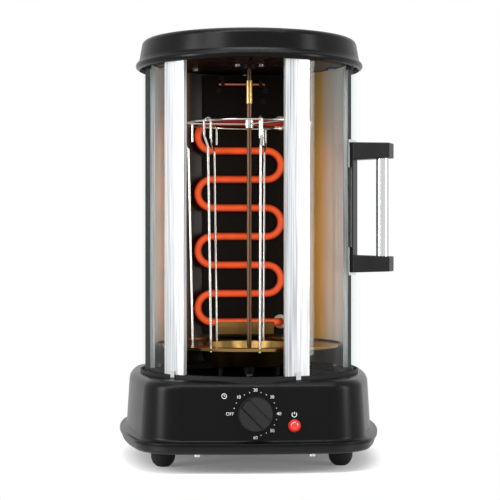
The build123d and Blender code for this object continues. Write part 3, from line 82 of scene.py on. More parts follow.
class Graph:
    """Node tree of a material or of the world, with the one helper that fills it."""

    def __init__(self, owner: Material | bpy.types.World) -> None:
        """Empty the tree but for its output node.

        Args:
            owner: Material or world that the tree belongs to.
        """
        owner.use_nodes = True
        self.owner = owner
        self.tree = owner.node_tree
        self.tree.nodes.clear()
        kind = "World" if isinstance(owner, bpy.types.World) else "Material"
        self.output = self.tree.nodes.new(f"ShaderNodeOutput{kind}")

    def add(self, kind: str, inputs: dict | None = None, **settings: object) -> bpy.types.Node:
        """Add a node with its settings, values and links.

        Args:
            kind: Blender's node type.
            inputs: Socket name or number to a value, or to a socket to link from.
            settings: Attributes to set on the node.

        Returns:
            The new node.
        """
        node = self.tree.nodes.new(kind)
        for key, value in settings.items():
            setattr(node, key, value)
        for key, value in (inputs or {}).items():
            if isinstance(value, Socket):
                self.tree.links.new(value, node.inputs[key])
            else:
                node.inputs[key].default_value = value
        return node

    def in_view(self) -> Socket:
        """Tell what is looked at, straight, in a mirror or through glass, from what is only lit.

        Returns:
            1 for a camera's, mirrored or transmitted ray, and 0 for any other.
        """
        rays = self.add("ShaderNodeLightPath").outputs
        direct = self.add(
            "ShaderNodeMath",
            {0: rays["Is Camera Ray"], 1: rays["Is Glossy Ray"]},
            operation="MAXIMUM",
        )
        seen = self.add(
            "ShaderNodeMath",
            {0: direct.outputs["Value"], 1: rays["Is Transmission Ray"]},
            operation="MAXIMUM",
        )
        return seen.outputs["Value"]

    def finish(self, shader: bpy.types.Node) -> Material | bpy.types.World:
        """Join the last shader to the output and return the tree's owner."""
        self.tree.links.new(shader.outputs[0], self.output.inputs["Surface"])
        return self.owner


class Grain(Enum):
    """Way that a metal's fine marks run, with the stretch that lays them so."""

    EVEN = (1.0, 1.0, 1.0)
    UPRIGHT = (1.0, 1.0, 0.02)
    ROUND = (0.08, 0.08, 1.0)


@dataclass(frozen=True)
class Enamel:
    """Satin enamel, baked on pressed sheet: a soft even sheen with faint orange peel."""

    name: str = "satin_black_enamel"
    colour: str = "060607"
    roughness: float = 0.3
    smoother: float = 0.04
    rougher: float = 0.05
    cloud_mm: float = 45.0
    peel_mm: float = 1.6
    peel_height: float = 0.05
    peel_depth_mm: float = 0.2
    specular: float = 0.12

    def material(self) -> Material:
        """Build the enamel.

        Returns:
            The finished material.
        """
        graph = Graph(bpy.data.materials.new(self.name))
        place = graph.add("ShaderNodeTexCoord")
        peel = graph.add(
            "ShaderNodeTexNoise",
            {"Vector": place.outputs["Object"], "Scale": per_metre(self.peel_mm), "Detail": 2.0},
        )
        cloud = graph.add(
            "ShaderNodeTexNoise",
            {"Vector": place.outputs["Object"], "Scale": per_metre(self.cloud_mm), "Detail": 3.0},
        )
        rough = graph.add(
            "ShaderNodeMapRange",
            {
                "Value": cloud.outputs["Fac"],
                "To Min": self.roughness - self.smoother,
                "To Max": self.roughness + self.rougher,
            },
        )
        bump = graph.add(
            "ShaderNodeBump",
            {
                "Strength": self.peel_height,
                "Distance": self.peel_depth_mm * MM,
                "Height": peel.outputs["Fac"],
            },
        )
        shader = graph.add(
            "ShaderNodeBsdfPrincipled",
            {
                "Base Color": linear(self.colour),
                "Roughness": rough.outputs["Result"],
                "Specular IOR Level": self.specular,
                "Normal": bump.outputs["Normal"],
            },
        )
        return graph.finish(shader)


@dataclass(frozen=True)
class Moulding:
    """Moulded plastic, rubber or ceramic: a fine pebbled skin from the tool."""

    name: str
    colour: str
    roughness: float
    pebble_mm: float = 0.7
    pebble_height: float = 0.12
    pebble_depth_mm: float = 0.1
    coat: float = 0.0
    coat_roughness: float = 0.15
    specular: float = 0.25

    def material(self) -> Material:
        """Build the moulded surface.

        Returns:
            The finished material.
        """
        graph = Graph(bpy.data.materials.new(self.name))
        place = graph.add("ShaderNodeTexCoord")
        pebble = graph.add(
            "ShaderNodeTexVoronoi",
            {"Vector": place.outputs["Object"], "Scale": per_metre(self.pebble_mm)},
        )
        bump = graph.add(
            "ShaderNodeBump",
            {
                "Strength": self.pebble_height,
                "Distance": self.pebble_depth_mm * MM,
                "Height": pebble.outputs["Distance"],
            },
        )
        shader = graph.add(
            "ShaderNodeBsdfPrincipled",
            {
                "Base Color": linear(self.colour),
                "Roughness": self.roughness,
                "Specular IOR Level": self.specular,
                "Coat Weight": self.coat,
                "Coat Roughness": self.coat_roughness,
                "Normal": bump.outputs["Normal"],
            },
        )
        return graph.finish(shader)


@dataclass(frozen=True)
class Metal:
    """Bare metal, rolled, drawn or polished, with fine marks along its grain."""

    name: str
    colour: str
    roughness: float
    grain: Grain = Grain.EVEN
    grain_mm: float = 0.6
    spread: float = 0.06
    smoothest: float = 0.02
    relief: float = 0.03
    relief_depth_mm: float = 0.1

    def material(self) -> Material:
        """Build the metal.

        Returns:
            The finished material.
        """
        graph = Graph(bpy.data.materials.new(self.name))
        place = graph.add("ShaderNodeTexCoord")
        laid = graph.add(
            "ShaderNodeMapping", {"Vector": place.outputs["Object"], "Scale": self.grain.value}
        )
        marks = graph.add(
            "ShaderNodeTexNoise",
            {"Vector": laid.outputs["Vector"], "Scale": per_metre(self.grain_mm), "Detail": 4.0},
        )
        rough = graph.add(
            "ShaderNodeMapRange",
            {
                "Value": marks.outputs["Fac"],
                "To Min": max(self.roughness - self.spread, self.smoothest),
                "To Max": self.roughness + self.spread,
            },
        )
        bump = graph.add(
            "ShaderNodeBump",
            {
                "Strength": self.relief,
                "Distance": self.relief_depth_mm * MM,
                "Height": marks.outputs["Fac"],
            },
        )
        shader = graph.add(
            "ShaderNodeBsdfPrincipled",
            {
                "Base Color": linear(self.colour),
                "Metallic": 1.0,
                "Roughness": rough.outputs["Result"],
                "Normal": bump.outputs["Normal"],
            },
        )
        return graph.finish(shader)


@dataclass(frozen=True)
class BrushedAluminium:
    """Extruded aluminium, brushed upright and clear anodised: nearly white with fine streaks."""

    name: str = "brushed_aluminium"
    light: str = "c9cbcd"
    light_from: float = 0.6
    dark: str = "85888b"
    dark_to: float = 0.3
    metallic: float = 0.75
    roughness: float = 0.38
    streak_mm: float = 1.0
    streak_stretch: float = 0.01
    relief: float = 0.06
    relief_depth_mm: float = 0.1

    def material(self) -> Material:
        """Build the aluminium.

        Returns:
            The finished material.
        """
        graph = Graph(bpy.data.materials.new(self.name))
        place = graph.add("ShaderNodeTexCoord")
        laid = graph.add(
            "ShaderNodeMapping",
            {"Vector": place.outputs["Object"], "Scale": (1.0, 1.0, self.streak_stretch)},
        )
        streaks = graph.add(
            "ShaderNodeTexNoise",
            {"Vector": laid.outputs["Vector"], "Scale": per_metre(self.streak_mm), "Detail": 5.0},
        )
        tone = graph.add("ShaderNodeValToRGB", {"Fac": streaks.outputs["Fac"]})
        tone.color_ramp.elements[0].position = self.dark_to
        tone.color_ramp.elements[0].color = linear(self.dark)
        tone.color_ramp.elements[1].position = self.light_from
        tone.color_ramp.elements[1].color = linear(self.light)
        bump = graph.add(
            "ShaderNodeBump",
            {
                "Strength": self.relief,
                "Distance": self.relief_depth_mm * MM,
                "Height": streaks.outputs["Fac"],
            },
        )
        shader = graph.add(
            "ShaderNodeBsdfPrincipled",
            {
                "Base Color": tone.outputs["Color"],
                "Metallic": self.metallic,
                "Roughness": self.roughness,
                "Normal": bump.outputs["Normal"],
            },
        )
        return graph.finish(shader)


@dataclass(frozen=True)
class LinerWithPaintedReflection:
    """Mirror-rolled steel whose colour is painted reflection: the white room at the door edges, the
    heater's gold glow, then the dark chamber in the middle.

    The half widths are metres from the middle of the grill.
    """

    name: str = "liner_with_painted_reflection"
    # Colours of the painted reflection: white room at the door edges, gold glow of the heater, dark
    # chamber in the middle.
    painted_white_reflection: str = "eaf1f6"
    white_reflection_from: float = 0.9
    painted_glow_reflection: str = "c09030"
    glow_reflection_at: float = 0.5
    browned_and_dark_reflection: str = "1d1713"
    dark_reflection_to: float = 0.12
    roughness: float = 0.3
    metallic: float = 0.5
    dark_reflection_half_width: float = 0.058
    white_reflection_half_width: float = 0.107
    reflection_wobble_mm: float = 50.0
    reflection_wobble_stretch: float = 0.3
    wander: float = 0.2
    dent_mm: float = 9.0
    dent_height: float = 0.12
    dent_depth_mm: float = 0.6

    def material(self) -> Material:
        """Build the liner with its painted reflection.

        Returns:
            The finished material.
        """
        graph = Graph(bpy.data.materials.new(self.name))
        place = graph.add("ShaderNodeTexCoord")
        laid = graph.add(
            "ShaderNodeMapping",
            {"Vector": place.outputs["Object"], "Scale": (1.0, 1.0, self.reflection_wobble_stretch)},
        )
        reflection_wobble = graph.add(
            "ShaderNodeTexNoise",
            {"Vector": laid.outputs["Vector"], "Scale": per_metre(self.reflection_wobble_mm), "Detail": 4.0},
        )
        split = graph.add("ShaderNodeSeparateXYZ", {"Vector": place.outputs["Object"]})
        aside = graph.add("ShaderNodeMath", {0: split.outputs["X"]}, operation="ABSOLUTE")
        outward = graph.add(
            "ShaderNodeMapRange",
            {
                "Value": aside.outputs["Value"],
                "From Min": self.dark_reflection_half_width,
                "From Max": self.white_reflection_half_width,
            },
        )
        wander = graph.add(
            "ShaderNodeMapRange",
            {"Value": reflection_wobble.outputs["Fac"], "To Min": -self.wander, "To Max": self.wander},
        )
        # Painted reflection: the share runs from the dark chamber in the middle to the white room
        # at the door edges, with a noisy wobble.
        reflection_share = graph.add(
            "ShaderNodeMath", {0: outward.outputs["Result"], 1: wander.outputs["Result"]}
        )
        tone = graph.add("ShaderNodeValToRGB", {"Fac": reflection_share.outputs["Value"]})
        tone.color_ramp.elements[0].position = self.dark_reflection_to
        tone.color_ramp.elements[0].color = linear(self.browned_and_dark_reflection)
        tone.color_ramp.elements[1].position = self.white_reflection_from
        tone.color_ramp.elements[1].color = linear(self.painted_white_reflection)
        tone.color_ramp.elements.new(self.glow_reflection_at).color = linear(self.painted_glow_reflection)
        dents = graph.add(
            "ShaderNodeTexNoise",
            {"Vector": place.outputs["Object"], "Scale": per_metre(self.dent_mm)},
        )
        bump = graph.add(
            "ShaderNodeBump",
            {
                "Strength": self.dent_height,
                "Distance": self.dent_depth_mm * MM,
                "Height": dents.outputs["Fac"],
            },
        )
        shader = graph.add(
            "ShaderNodeBsdfPrincipled",
            {
                "Base Color": tone.outputs["Color"],
                "Metallic": self.metallic,
                "Roughness": self.roughness,
                "Normal": bump.outputs["Normal"],
            },
        )
        return graph.finish(shader)


@dataclass(frozen=True)
class ClearGlass:
    """Tempered soda-lime sheet, bent to a curve: clear, with a soft mirror of what stands by it."""

    name: str = "tempered_glass"
    tint: str = "fafcfb"
    roughness: float = 0.015
    rim_blend: float = 0.18
    face_mirror: float = 0.012
    edge_mirror: float = 0.035

    def material(self) -> Material:
        """Build the glass as a thin sheet that lets the light through unbent.

        Returns:
            The finished material.
        """
        graph = Graph(bpy.data.materials.new(self.name))
        clear = graph.add("ShaderNodeBsdfTransparent", {"Color": linear(self.tint)})
        gloss = graph.add("ShaderNodeBsdfGlossy", {"Color": WHITE, "Roughness": self.roughness})
        rim = graph.add("ShaderNodeLayerWeight", {"Blend": self.rim_blend})
        share = graph.add(
            "ShaderNodeMapRange",
            {
                "Value": rim.outputs["Fresnel"],
                "To Min": self.face_mirror,
                "To Max": self.edge_mirror,
            },
        )
        shader = graph.add(
            "ShaderNodeMixShader",
            {0: share.outputs["Result"], 1: clear.outputs[0], 2: gloss.outputs[0]},
        )
        return graph.finish(shader)


@dataclass(frozen=True)
class GlowingSheath:
    """Steel-sheathed heating rod at work: orange-red, duller at its top run and towards the panel.

    The heights and the two sides are metres in the grill's frame.
    """

    name: str = "glowing_heater_sheath"
    hot: str = "f4561c"
    hot_to: float = 0.2
    cool: str = "7a1a08"
    cool_from: float = 1.0
    sheath: str = "2c100a"
    roughness: float = 0.55
    strength: float = 0.92
    top_run: float = 0.352
    top_end: float = 0.372
    free_side: float = 0.0797
    wall_side: float = 0.0826
    wall_dullness: float = 0.9
    mottle_mm: float = 14.0
    mottle_depth: float = 0.45

    def material(self) -> Material:
        """Build the glowing sheath.

        Returns:
            The finished material.
        """
        graph = Graph(bpy.data.materials.new(self.name))
        place = graph.add("ShaderNodeTexCoord")
        split = graph.add("ShaderNodeSeparateXYZ", {"Vector": place.outputs["Object"]})
        up = graph.add(
            "ShaderNodeMapRange",
            {"Value": split.outputs["Z"], "From Min": self.top_run, "From Max": self.top_end},
        )
        mottle = graph.add(
            "ShaderNodeTexNoise",
            {"Vector": place.outputs["Object"], "Scale": per_metre(self.mottle_mm), "Detail": 3.0},
        )
        wall = graph.add(
            "ShaderNodeMapRange",
            {
                "Value": split.outputs["Y"],
                "From Min": self.free_side,
                "From Max": self.wall_side,
                "To Max": self.wall_dullness,
            },
        )
        spotty = graph.add(
            "ShaderNodeMath",
            {0: mottle.outputs["Fac"], 1: self.mottle_depth, 2: wall.outputs["Result"]},
            operation="MULTIPLY_ADD",
        )
        dull = graph.add(
            "ShaderNodeMath",
            {0: up.outputs["Result"], 1: spotty.outputs["Value"]},
            operation="MAXIMUM",
        )
        colour = graph.add("ShaderNodeValToRGB", {"Fac": dull.outputs["Value"]})
        colour.color_ramp.elements[0].position = self.hot_to
        colour.color_ramp.elements[0].color = linear(self.hot)
        colour.color_ramp.elements[1].position = self.cool_from
        colour.color_ramp.elements[1].color = linear(self.cool)
        shader = graph.add(
            "ShaderNodeBsdfPrincipled",
            {
                "Base Color": linear(self.sheath),
                "Roughness": self.roughness,
                "Emission Color": colour.outputs["Color"],
                "Emission Strength": self.strength,
            },
        )
        return graph.finish(shader)


@dataclass(frozen=True)
class RedLens:
    """Clear red styrene lamp lens, lit from behind, with faint moulding waves."""

    name: str = "lit_red_lens"
    colour: str = "c8140e"
    glow: str = "ff2a18"
    strength: float = 0.3
    roughness: float = 0.12
    coat: float = 0.6
    wave_mm: float = 2.0
    wave_height: float = 0.1
    wave_depth_mm: float = 0.2

    def material(self) -> Material:
        """Build the lens.

        Returns:
            The finished material.
        """
        graph = Graph(bpy.data.materials.new(self.name))
        place = graph.add("ShaderNodeTexCoord")
        waves = graph.add(
            "ShaderNodeTexNoise",
            {"Vector": place.outputs["Object"], "Scale": per_metre(self.wave_mm)},
        )
        bump = graph.add(
            "ShaderNodeBump",
            {
                "Strength": self.wave_height,
                "Distance": self.wave_depth_mm * MM,
                "Height": waves.outputs["Fac"],
            },
        )
        shader = graph.add(
            "ShaderNodeBsdfPrincipled",
            {
                "Base Color": linear(self.colour),
                "Roughness": self.roughness,
                "Coat Weight": self.coat,
                "Emission Color": linear(self.glow),
                "Emission Strength": self.strength,
                "Normal": bump.outputs["Normal"],
            },
        )
        return graph.finish(shader)


@dataclass(frozen=True)
class Ink:
    """Screen-printed epoxy ink: thin, matt and pale grey, a little worn in places."""

    name: str = "pale_print"
    colour: str = "d8d8d8"
    whole_from: float = 0.55
    worn: str = "b4b4b4"
    worn_to: float = 0.3
    wear_mm: float = 2.5
    roughness: float = 0.6

    def material(self) -> Material:
        """Build the ink.

        Returns:
            The finished material.
        """
        graph = Graph(bpy.data.materials.new(self.name))
        place = graph.add("ShaderNodeTexCoord")
        wear = graph.add(
            "ShaderNodeTexNoise",
            {"Vector": place.outputs["Object"], "Scale": per_metre(self.wear_mm)},
        )
        tone = graph.add("ShaderNodeValToRGB", {"Fac": wear.outputs["Fac"]})
        tone.color_ramp.elements[0].position = self.worn_to
        tone.color_ramp.elements[0].color = linear(self.worn)
        tone.color_ramp.elements[1].position = self.whole_from
        tone.color_ramp.elements[1].color = linear(self.colour)
        shader = graph.add(
            "ShaderNodeBsdfPrincipled",
            {"Base Color": tone.outputs["Color"], "Roughness": self.roughness},
        )
        return graph.finish(shader)


class Finish(Protocol):
    """What every finish can do."""

    def material(self) -> Material:
        """Build the material."""


def made(finish: Finish) -> Material:
    """Field that builds its finish when the set of finishes is made."""
    return field(default_factory=finish.material)


@dataclass
class Finishes:
    """Every finish of the grill, built once from what the real one is."""

    enamel: Material = made(Enamel())
    lid_enamel: Material = made(Enamel("black_lid_enamel", "060607", 0.26))
    shell: Material = made(Enamel("black_shell_enamel", "09090a", 0.42))
    black_plastic: Material = made(Moulding("black_heatproof_plastic", "08080a", 0.4))
    dark_plastic: Material = made(Moulding("matt_black_plastic", "0b0b0c", 0.6))
    knob: Material = made(
        Moulding(
            "black_knob_plastic",
            "0d0d0f",
            0.36,
            pebble_mm=0.5,
            pebble_height=0.05,
            coat=0.1,
            specular=0.35,
        )
    )
    rubber: Material = made(Moulding("black_rubber", "161616", 0.72, pebble_mm=0.9))
    white_plastic: Material = made(Moulding("natural_white_plastic", "d9d5c9", 0.5))
    ceramic: Material = made(Moulding("unglazed_ceramic", "d6cfc0", 0.8, pebble_mm=1.2))
    zinc: Material = made(Metal("zinc_plated_steel", "c4c6c8", 0.32))
    polished: Material = made(Metal("polished_steel", "cfd0d2", 0.14))
    wire: Material = made(Metal("drawn_steel_wire", "d2d2d0", 0.2, Grain.UPRIGHT))
    # The liner's colour is painted reflection of the room, the heater's glow and the dark chamber.
    liner: Material = made(LinerWithPaintedReflection())
    panel: Material = made(Metal("heat_darkened_steel", "1e1a18", 0.38, Grain.UPRIGHT))
    browned_and_dark_reflection: Material = made(Metal("browned_steel", "8f7242", 0.22, Grain.ROUND))
    shaft: Material = made(Metal("heat_browned_shaft", "5d4638", 0.3))
    sooted: Material = made(Metal("sooted_steel", "2b2724", 0.45))
    aluminium: Material = made(BrushedAluminium())
    glass: Material = made(ClearGlass())
    copper: Material = made(Metal("copper_tube", "b87352", 0.3))
    brass: Material = made(Metal("brass_tube", "c8a468", 0.28))
    heater: Material = made(GlowingSheath())
    lens: Material = made(RedLens())
    ink: Material = made(Ink())


@dataclass
class SubAssembly:
    """Pieces that belong together: takes the carried-over solids and dresses them."""

    nodes: dict[str, bpy.types.Object]
    finishes: Finishes

    def wear(self, finish: Material, *names: str) -> None:
        """Give carried-over solids one finish and report each.

        Args:
            finish: Material to wear.
            names: Names of the solids.
        """
        for name in names:
            mesh = self.nodes[name].data
            mesh.materials.clear()
            mesh.materials.append(finish)
            LOG.info("%s wears %s", name, finish.name)


@dataclass
class Base(SubAssembly):
    """Low moulded housing with its bottom plate, feet, gland and what is inside it."""

    def build(self) -> None:
        """Dress the base."""
        self.wear(self.finishes.enamel, "base_housing")
        self.wear(self.finishes.black_plastic, "base_plate")
        self.wear(self.finishes.rubber, "rubber_feet")
        self.wear(self.finishes.dark_plastic, "cord_gland")
        self.wear(self.finishes.white_plastic, "terminal_block")
        self.wear(self.finishes.zinc, "foot_nuts", "base_screws")
        self.wear(self.finishes.zinc, "motor_body", "motor_strap", "motor_screws")


@dataclass
class Chamber(SubAssembly):
    """Round chamber: floor, tracks, rear shell, liner, fixed pane and its post."""

    def build(self) -> None:
        """Dress the chamber."""
        self.wear(self.finishes.sooted, "floor_pan")
        self.wear(self.finishes.rubber, "floor_buffers", "door_seals")
        self.wear(self.finishes.dark_plastic, "lower_track", "upper_track")
        self.wear(self.finishes.shell, "rear_shell")
        self.wear(self.finishes.zinc, "chamber_screws")
        self.wear(self.finishes.liner, "liner")
        self.wear(self.finishes.aluminium, "door_jambs", "left_post")
        self.wear(self.finishes.glass, "left_pane")
        self.wear(self.finishes.polished, "post_guides")


@dataclass
class Heater(SubAssembly):
    """Bent heating rod on its panel, with the thermostat's rod above it."""

    def build(self) -> None:
        """Dress the heater."""
        self.wear(self.finishes.panel, "heater_panel")
        self.wear(self.finishes.sooted, "panel_screws", "rod_clips")
        self.wear(self.finishes.heater, "heater_element")
        self.wear(self.finishes.ceramic, "heater_bushes")
        self.wear(self.finishes.browned_and_dark_reflection, "heater_support")
        self.wear(self.finishes.copper, "sensor_rod")


@dataclass
class Door(SubAssembly):
    """Curved sliding pane with its stile, guides and handle."""

    def build(self) -> None:
        """Dress the door."""
        self.wear(self.finishes.aluminium, "door_stile")
        self.wear(self.finishes.glass, "door_pane")
        self.wear(self.finishes.polished, "door_guides", "handle_tube", "handle_pads")
        self.wear(self.finishes.black_plastic, "handle_blocks", "handle_backplate")


@dataclass
class Carousel(SubAssembly):
    """What the motor turns: shaft, hub, dish, ring and the hanging skewers."""

    skewers: int = 7

    def build(self) -> None:
        """Dress the carousel and its skewers."""
        self.wear(self.finishes.zinc, "motor_shaft", "dish_nut")
        self.wear(self.finishes.dark_plastic, "drive_hub")
        self.wear(self.finishes.shaft, "centre_shaft")
        self.wear(self.finishes.brass, "shaft_collar")
        self.wear(self.finishes.browned_and_dark_reflection, "drip_dish")
        self.wear(self.finishes.wire, "skewer_ring")
        for number in range(1, self.skewers + 1):
            self.wear(self.finishes.wire, f"skewer_{number}")


@dataclass
class Lid(SubAssembly):
    """Pressed lid, the chamber's ceiling and the shaft's top bearing."""

    def build(self) -> None:
        """Dress the lid."""
        self.wear(self.finishes.lid_enamel, "lid")
        self.wear(self.finishes.sooted, "lid_pan", "top_bearing")


@dataclass(frozen=True)
class FrontFace:
    """Bowed, sloping front face of the base, in metres."""

    bow_radius: float = 0.830
    front: float = 0.133
    inset: float = 0.0073
    foot: float = 0.0292

    def frame_at(self, x: float, z: float, lift: float) -> Matrix:
        """Return the matrix of a small plane on the face: X along it, Y up it, Z out of it.

        Args:
            x: Place across the face.
            z: Height on the face.
            lift: Distance in front of the face.

        Returns:
            The plane's matrix in the row frame.
        """
        bow = self.bow_radius - self.inset - (z - self.foot) * math.tan(FACE_TILT)
        sine = x / bow
        cosine = math.sqrt(1 - sine * sine)
        out = Vector(
            (sine * math.cos(FACE_TILT), -cosine * math.cos(FACE_TILT), math.sin(FACE_TILT))
        )
        along = Vector((cosine, sine, 0))
        place = Vector((x, self.bow_radius - self.front - bow * cosine, z)) + out * lift
        turned = Matrix((along, out.cross(along), out)).transposed().to_4x4()
        turned.translation = place
        return turned


@dataclass
class FrontControls(SubAssembly):
    """Timer, knob and power lamp, with plain printed marks, in metres.

    The hands of the clock sign and the bar of the power sign are shares of sign_size.
    """

    face: FrontFace = FrontFace()
    centre_z: float = 0.0615
    number_radius: float = 0.0240
    dot_radius: float = 0.0222
    dot_size: float = 0.00045
    dot_sides: int = 14
    letter_size: float = 0.0046
    lift: float = 0.00005
    clock_place: tuple[float, float] = (-0.0315, 0.0795)
    power_place: tuple[float, float] = (0.0396, 0.0605)
    sign_size: float = 0.0024
    stroke_width: float = 0.0006
    arc_steps: int = 36
    minute_hand: float = 0.62
    hour_hand: float = 0.5
    power_arc: tuple[float, float] = (125.0, 415.0)
    power_bar: tuple[float, float] = (1.15, 0.2)
    words: tuple[str, ...] = ("OFF", "10", "20", "30", "40", "50", "60")
    step_degrees: float = 45.0
    spaces: int = 3
    off_shift: float = 0.0018

    def _join(self, name: str, mesh: bpy.types.Mesh) -> None:
        """Put a printed mesh on the base.

        Args:
            name: Name of the piece.
            mesh: Its mesh, in place.
        """
        mesh.materials.append(self.finishes.ink)
        piece = bpy.data.objects.new(name, mesh)
        bpy.context.scene.collection.objects.link(piece)
        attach(piece, "base")
        LOG.info("%s printed", name)

    def _spot(self, clock_degrees: float, radius: float) -> tuple[float, float]:
        """Find a place on the face about the knob.

        Args:
            clock_degrees: Angle, clockwise from 9 o'clock.
            radius: Distance from the knob's axis.

        Returns:
            The place across and the height.
        """
        angle = math.radians(180 - clock_degrees)
        return (
            radius * math.cos(angle),
            self.centre_z + radius * math.sin(angle) * math.cos(FACE_TILT),
        )

    def numbers(self) -> None:
        """Print OFF and the minutes, evenly spaced round the knob."""
        for step, words in enumerate(self.words):
            curve = bpy.data.curves.new(f"mark_{words}", "FONT")
            curve.body = words
            curve.size = self.letter_size
            curve.align_x = "CENTER"
            curve.align_y = "CENTER"
            reach = self.number_radius + (0.0 if step else self.off_shift)
            x, z = self._spot(self.step_degrees * step, reach)
            source = bpy.data.objects.new("words", curve)
            bpy.context.scene.collection.objects.link(source)
            bpy.context.view_layer.update()
            shape = source.evaluated_get(bpy.context.evaluated_depsgraph_get())
            mesh = bpy.data.meshes.new_from_object(shape)
            mesh.transform(self.face.frame_at(x, z, self.lift))
            bpy.data.objects.remove(source)
            self._join(f"mark_{words}", mesh)

    def dots(self) -> None:
        """Print the dots between each pair of numbers."""
        build = bmesh.new()
        for step in range(self.spaces * (len(self.words) - 1)):
            if step % self.spaces:
                x, z = self._spot(self.step_degrees / self.spaces * step, self.dot_radius)
                bmesh.ops.create_circle(
                    build,
                    cap_ends=True,
                    segments=self.dot_sides,
                    radius=self.dot_size,
                    matrix=self.face.frame_at(x, z, self.lift),
                )
        mesh = bpy.data.meshes.new("dial_dots")
        build.to_mesh(mesh)
        build.free()
        self._join("dial_dots", mesh)

    def _stroke(self, build: bmesh.types.BMesh, points: list[tuple[float, float]]) -> None:
        """Lay a flat stroke of one width.

        Args:
            build: Mesh that takes the stroke.
            points: Points of the stroke on a small plane.
        """
        sides: list[tuple[bmesh.types.BMVert, bmesh.types.BMVert]] = []
        for index, point in enumerate(points):
            before = Vector(points[max(index - 1, 0)])
            after = Vector(points[min(index + 1, len(points) - 1)])
            run = (after - before).normalized()
            across = Vector((-run.y, run.x)) * self.stroke_width / 2
            ends = (Vector(point) + across, Vector(point) - across)
            sides.append(tuple(build.verts.new((end.x, end.y, 0)) for end in ends))
        for first, second in zip(sides, sides[1:]):
            build.faces.new((first[0], first[1], second[1], second[0]))

    def _ring(self, radius: float, start: float, end: float) -> list[tuple[float, float]]:
        """Find points along an arc.

        Args:
            radius: Radius of the arc.
            start: Degrees where it starts, counter-clockwise from the right.
            end: Degrees where it ends.

        Returns:
            The points, in order.
        """
        steps = self.arc_steps
        angles = [math.radians(start + (end - start) * i / steps) for i in range(steps + 1)]
        return [(radius * math.cos(a), radius * math.sin(a)) for a in angles]

    def signs(self) -> None:
        """Print a plain clock sign over the dial and a plain power sign over the lamp."""
        size = self.sign_size
        hands = [(0, size * self.minute_hand), (0, 0), (size * self.hour_hand, 0)]
        bar = [(0, size * end) for end in self.power_bar]
        strokes = {
            "clock_sign": (self.clock_place, [self._ring(size, 0, 360), hands]),
            "power_sign": (self.power_place, [self._ring(size, *self.power_arc), bar]),
        }
        for name, (place, lines) in strokes.items():
            build = bmesh.new()
            for line in lines:
                self._stroke(build, line)
            mesh = bpy.data.meshes.new(name)
            build.to_mesh(mesh)
            build.free()
            mesh.transform(self.face.frame_at(*place, self.lift))
            self._join(name, mesh)

    def build(self) -> None:
        """Dress the controls and print the marks."""
        self.wear(self.finishes.dark_plastic, "timer_body", "lamp_holder")
        self.wear(self.finishes.zinc, "timer_screws", "timer_shaft")
        self.wear(self.finishes.knob, "timer_knob")
        self.wear(self.finishes.lens, "lamp_lens")
        self.wear(self.finishes.glass, "lamp_bulb")
        self.numbers()
        self.dots()
        self.signs()


@dataclass(frozen=True)
class SoftBox:
    """One lamp of the studio: place and size in metres, power in watts."""

    name: str
    place: tuple[float, float, float]
    size: tuple[float, float]
    watts: float

    def build(self) -> bpy.types.Object:
        """Hang the lamp, facing straight down until it is turned.

        Returns:
            The lamp.
        """
        data = bpy.data.lights.new(self.name, "AREA")
        data.shape = "RECTANGLE"
        data.size, data.size_y = self.size
        data.energy = self.watts
        lamp = bpy.data.objects.new(self.name, data)
        lamp.location = self.place
        bpy.context.scene.collection.objects.link(lamp)
        return lamp


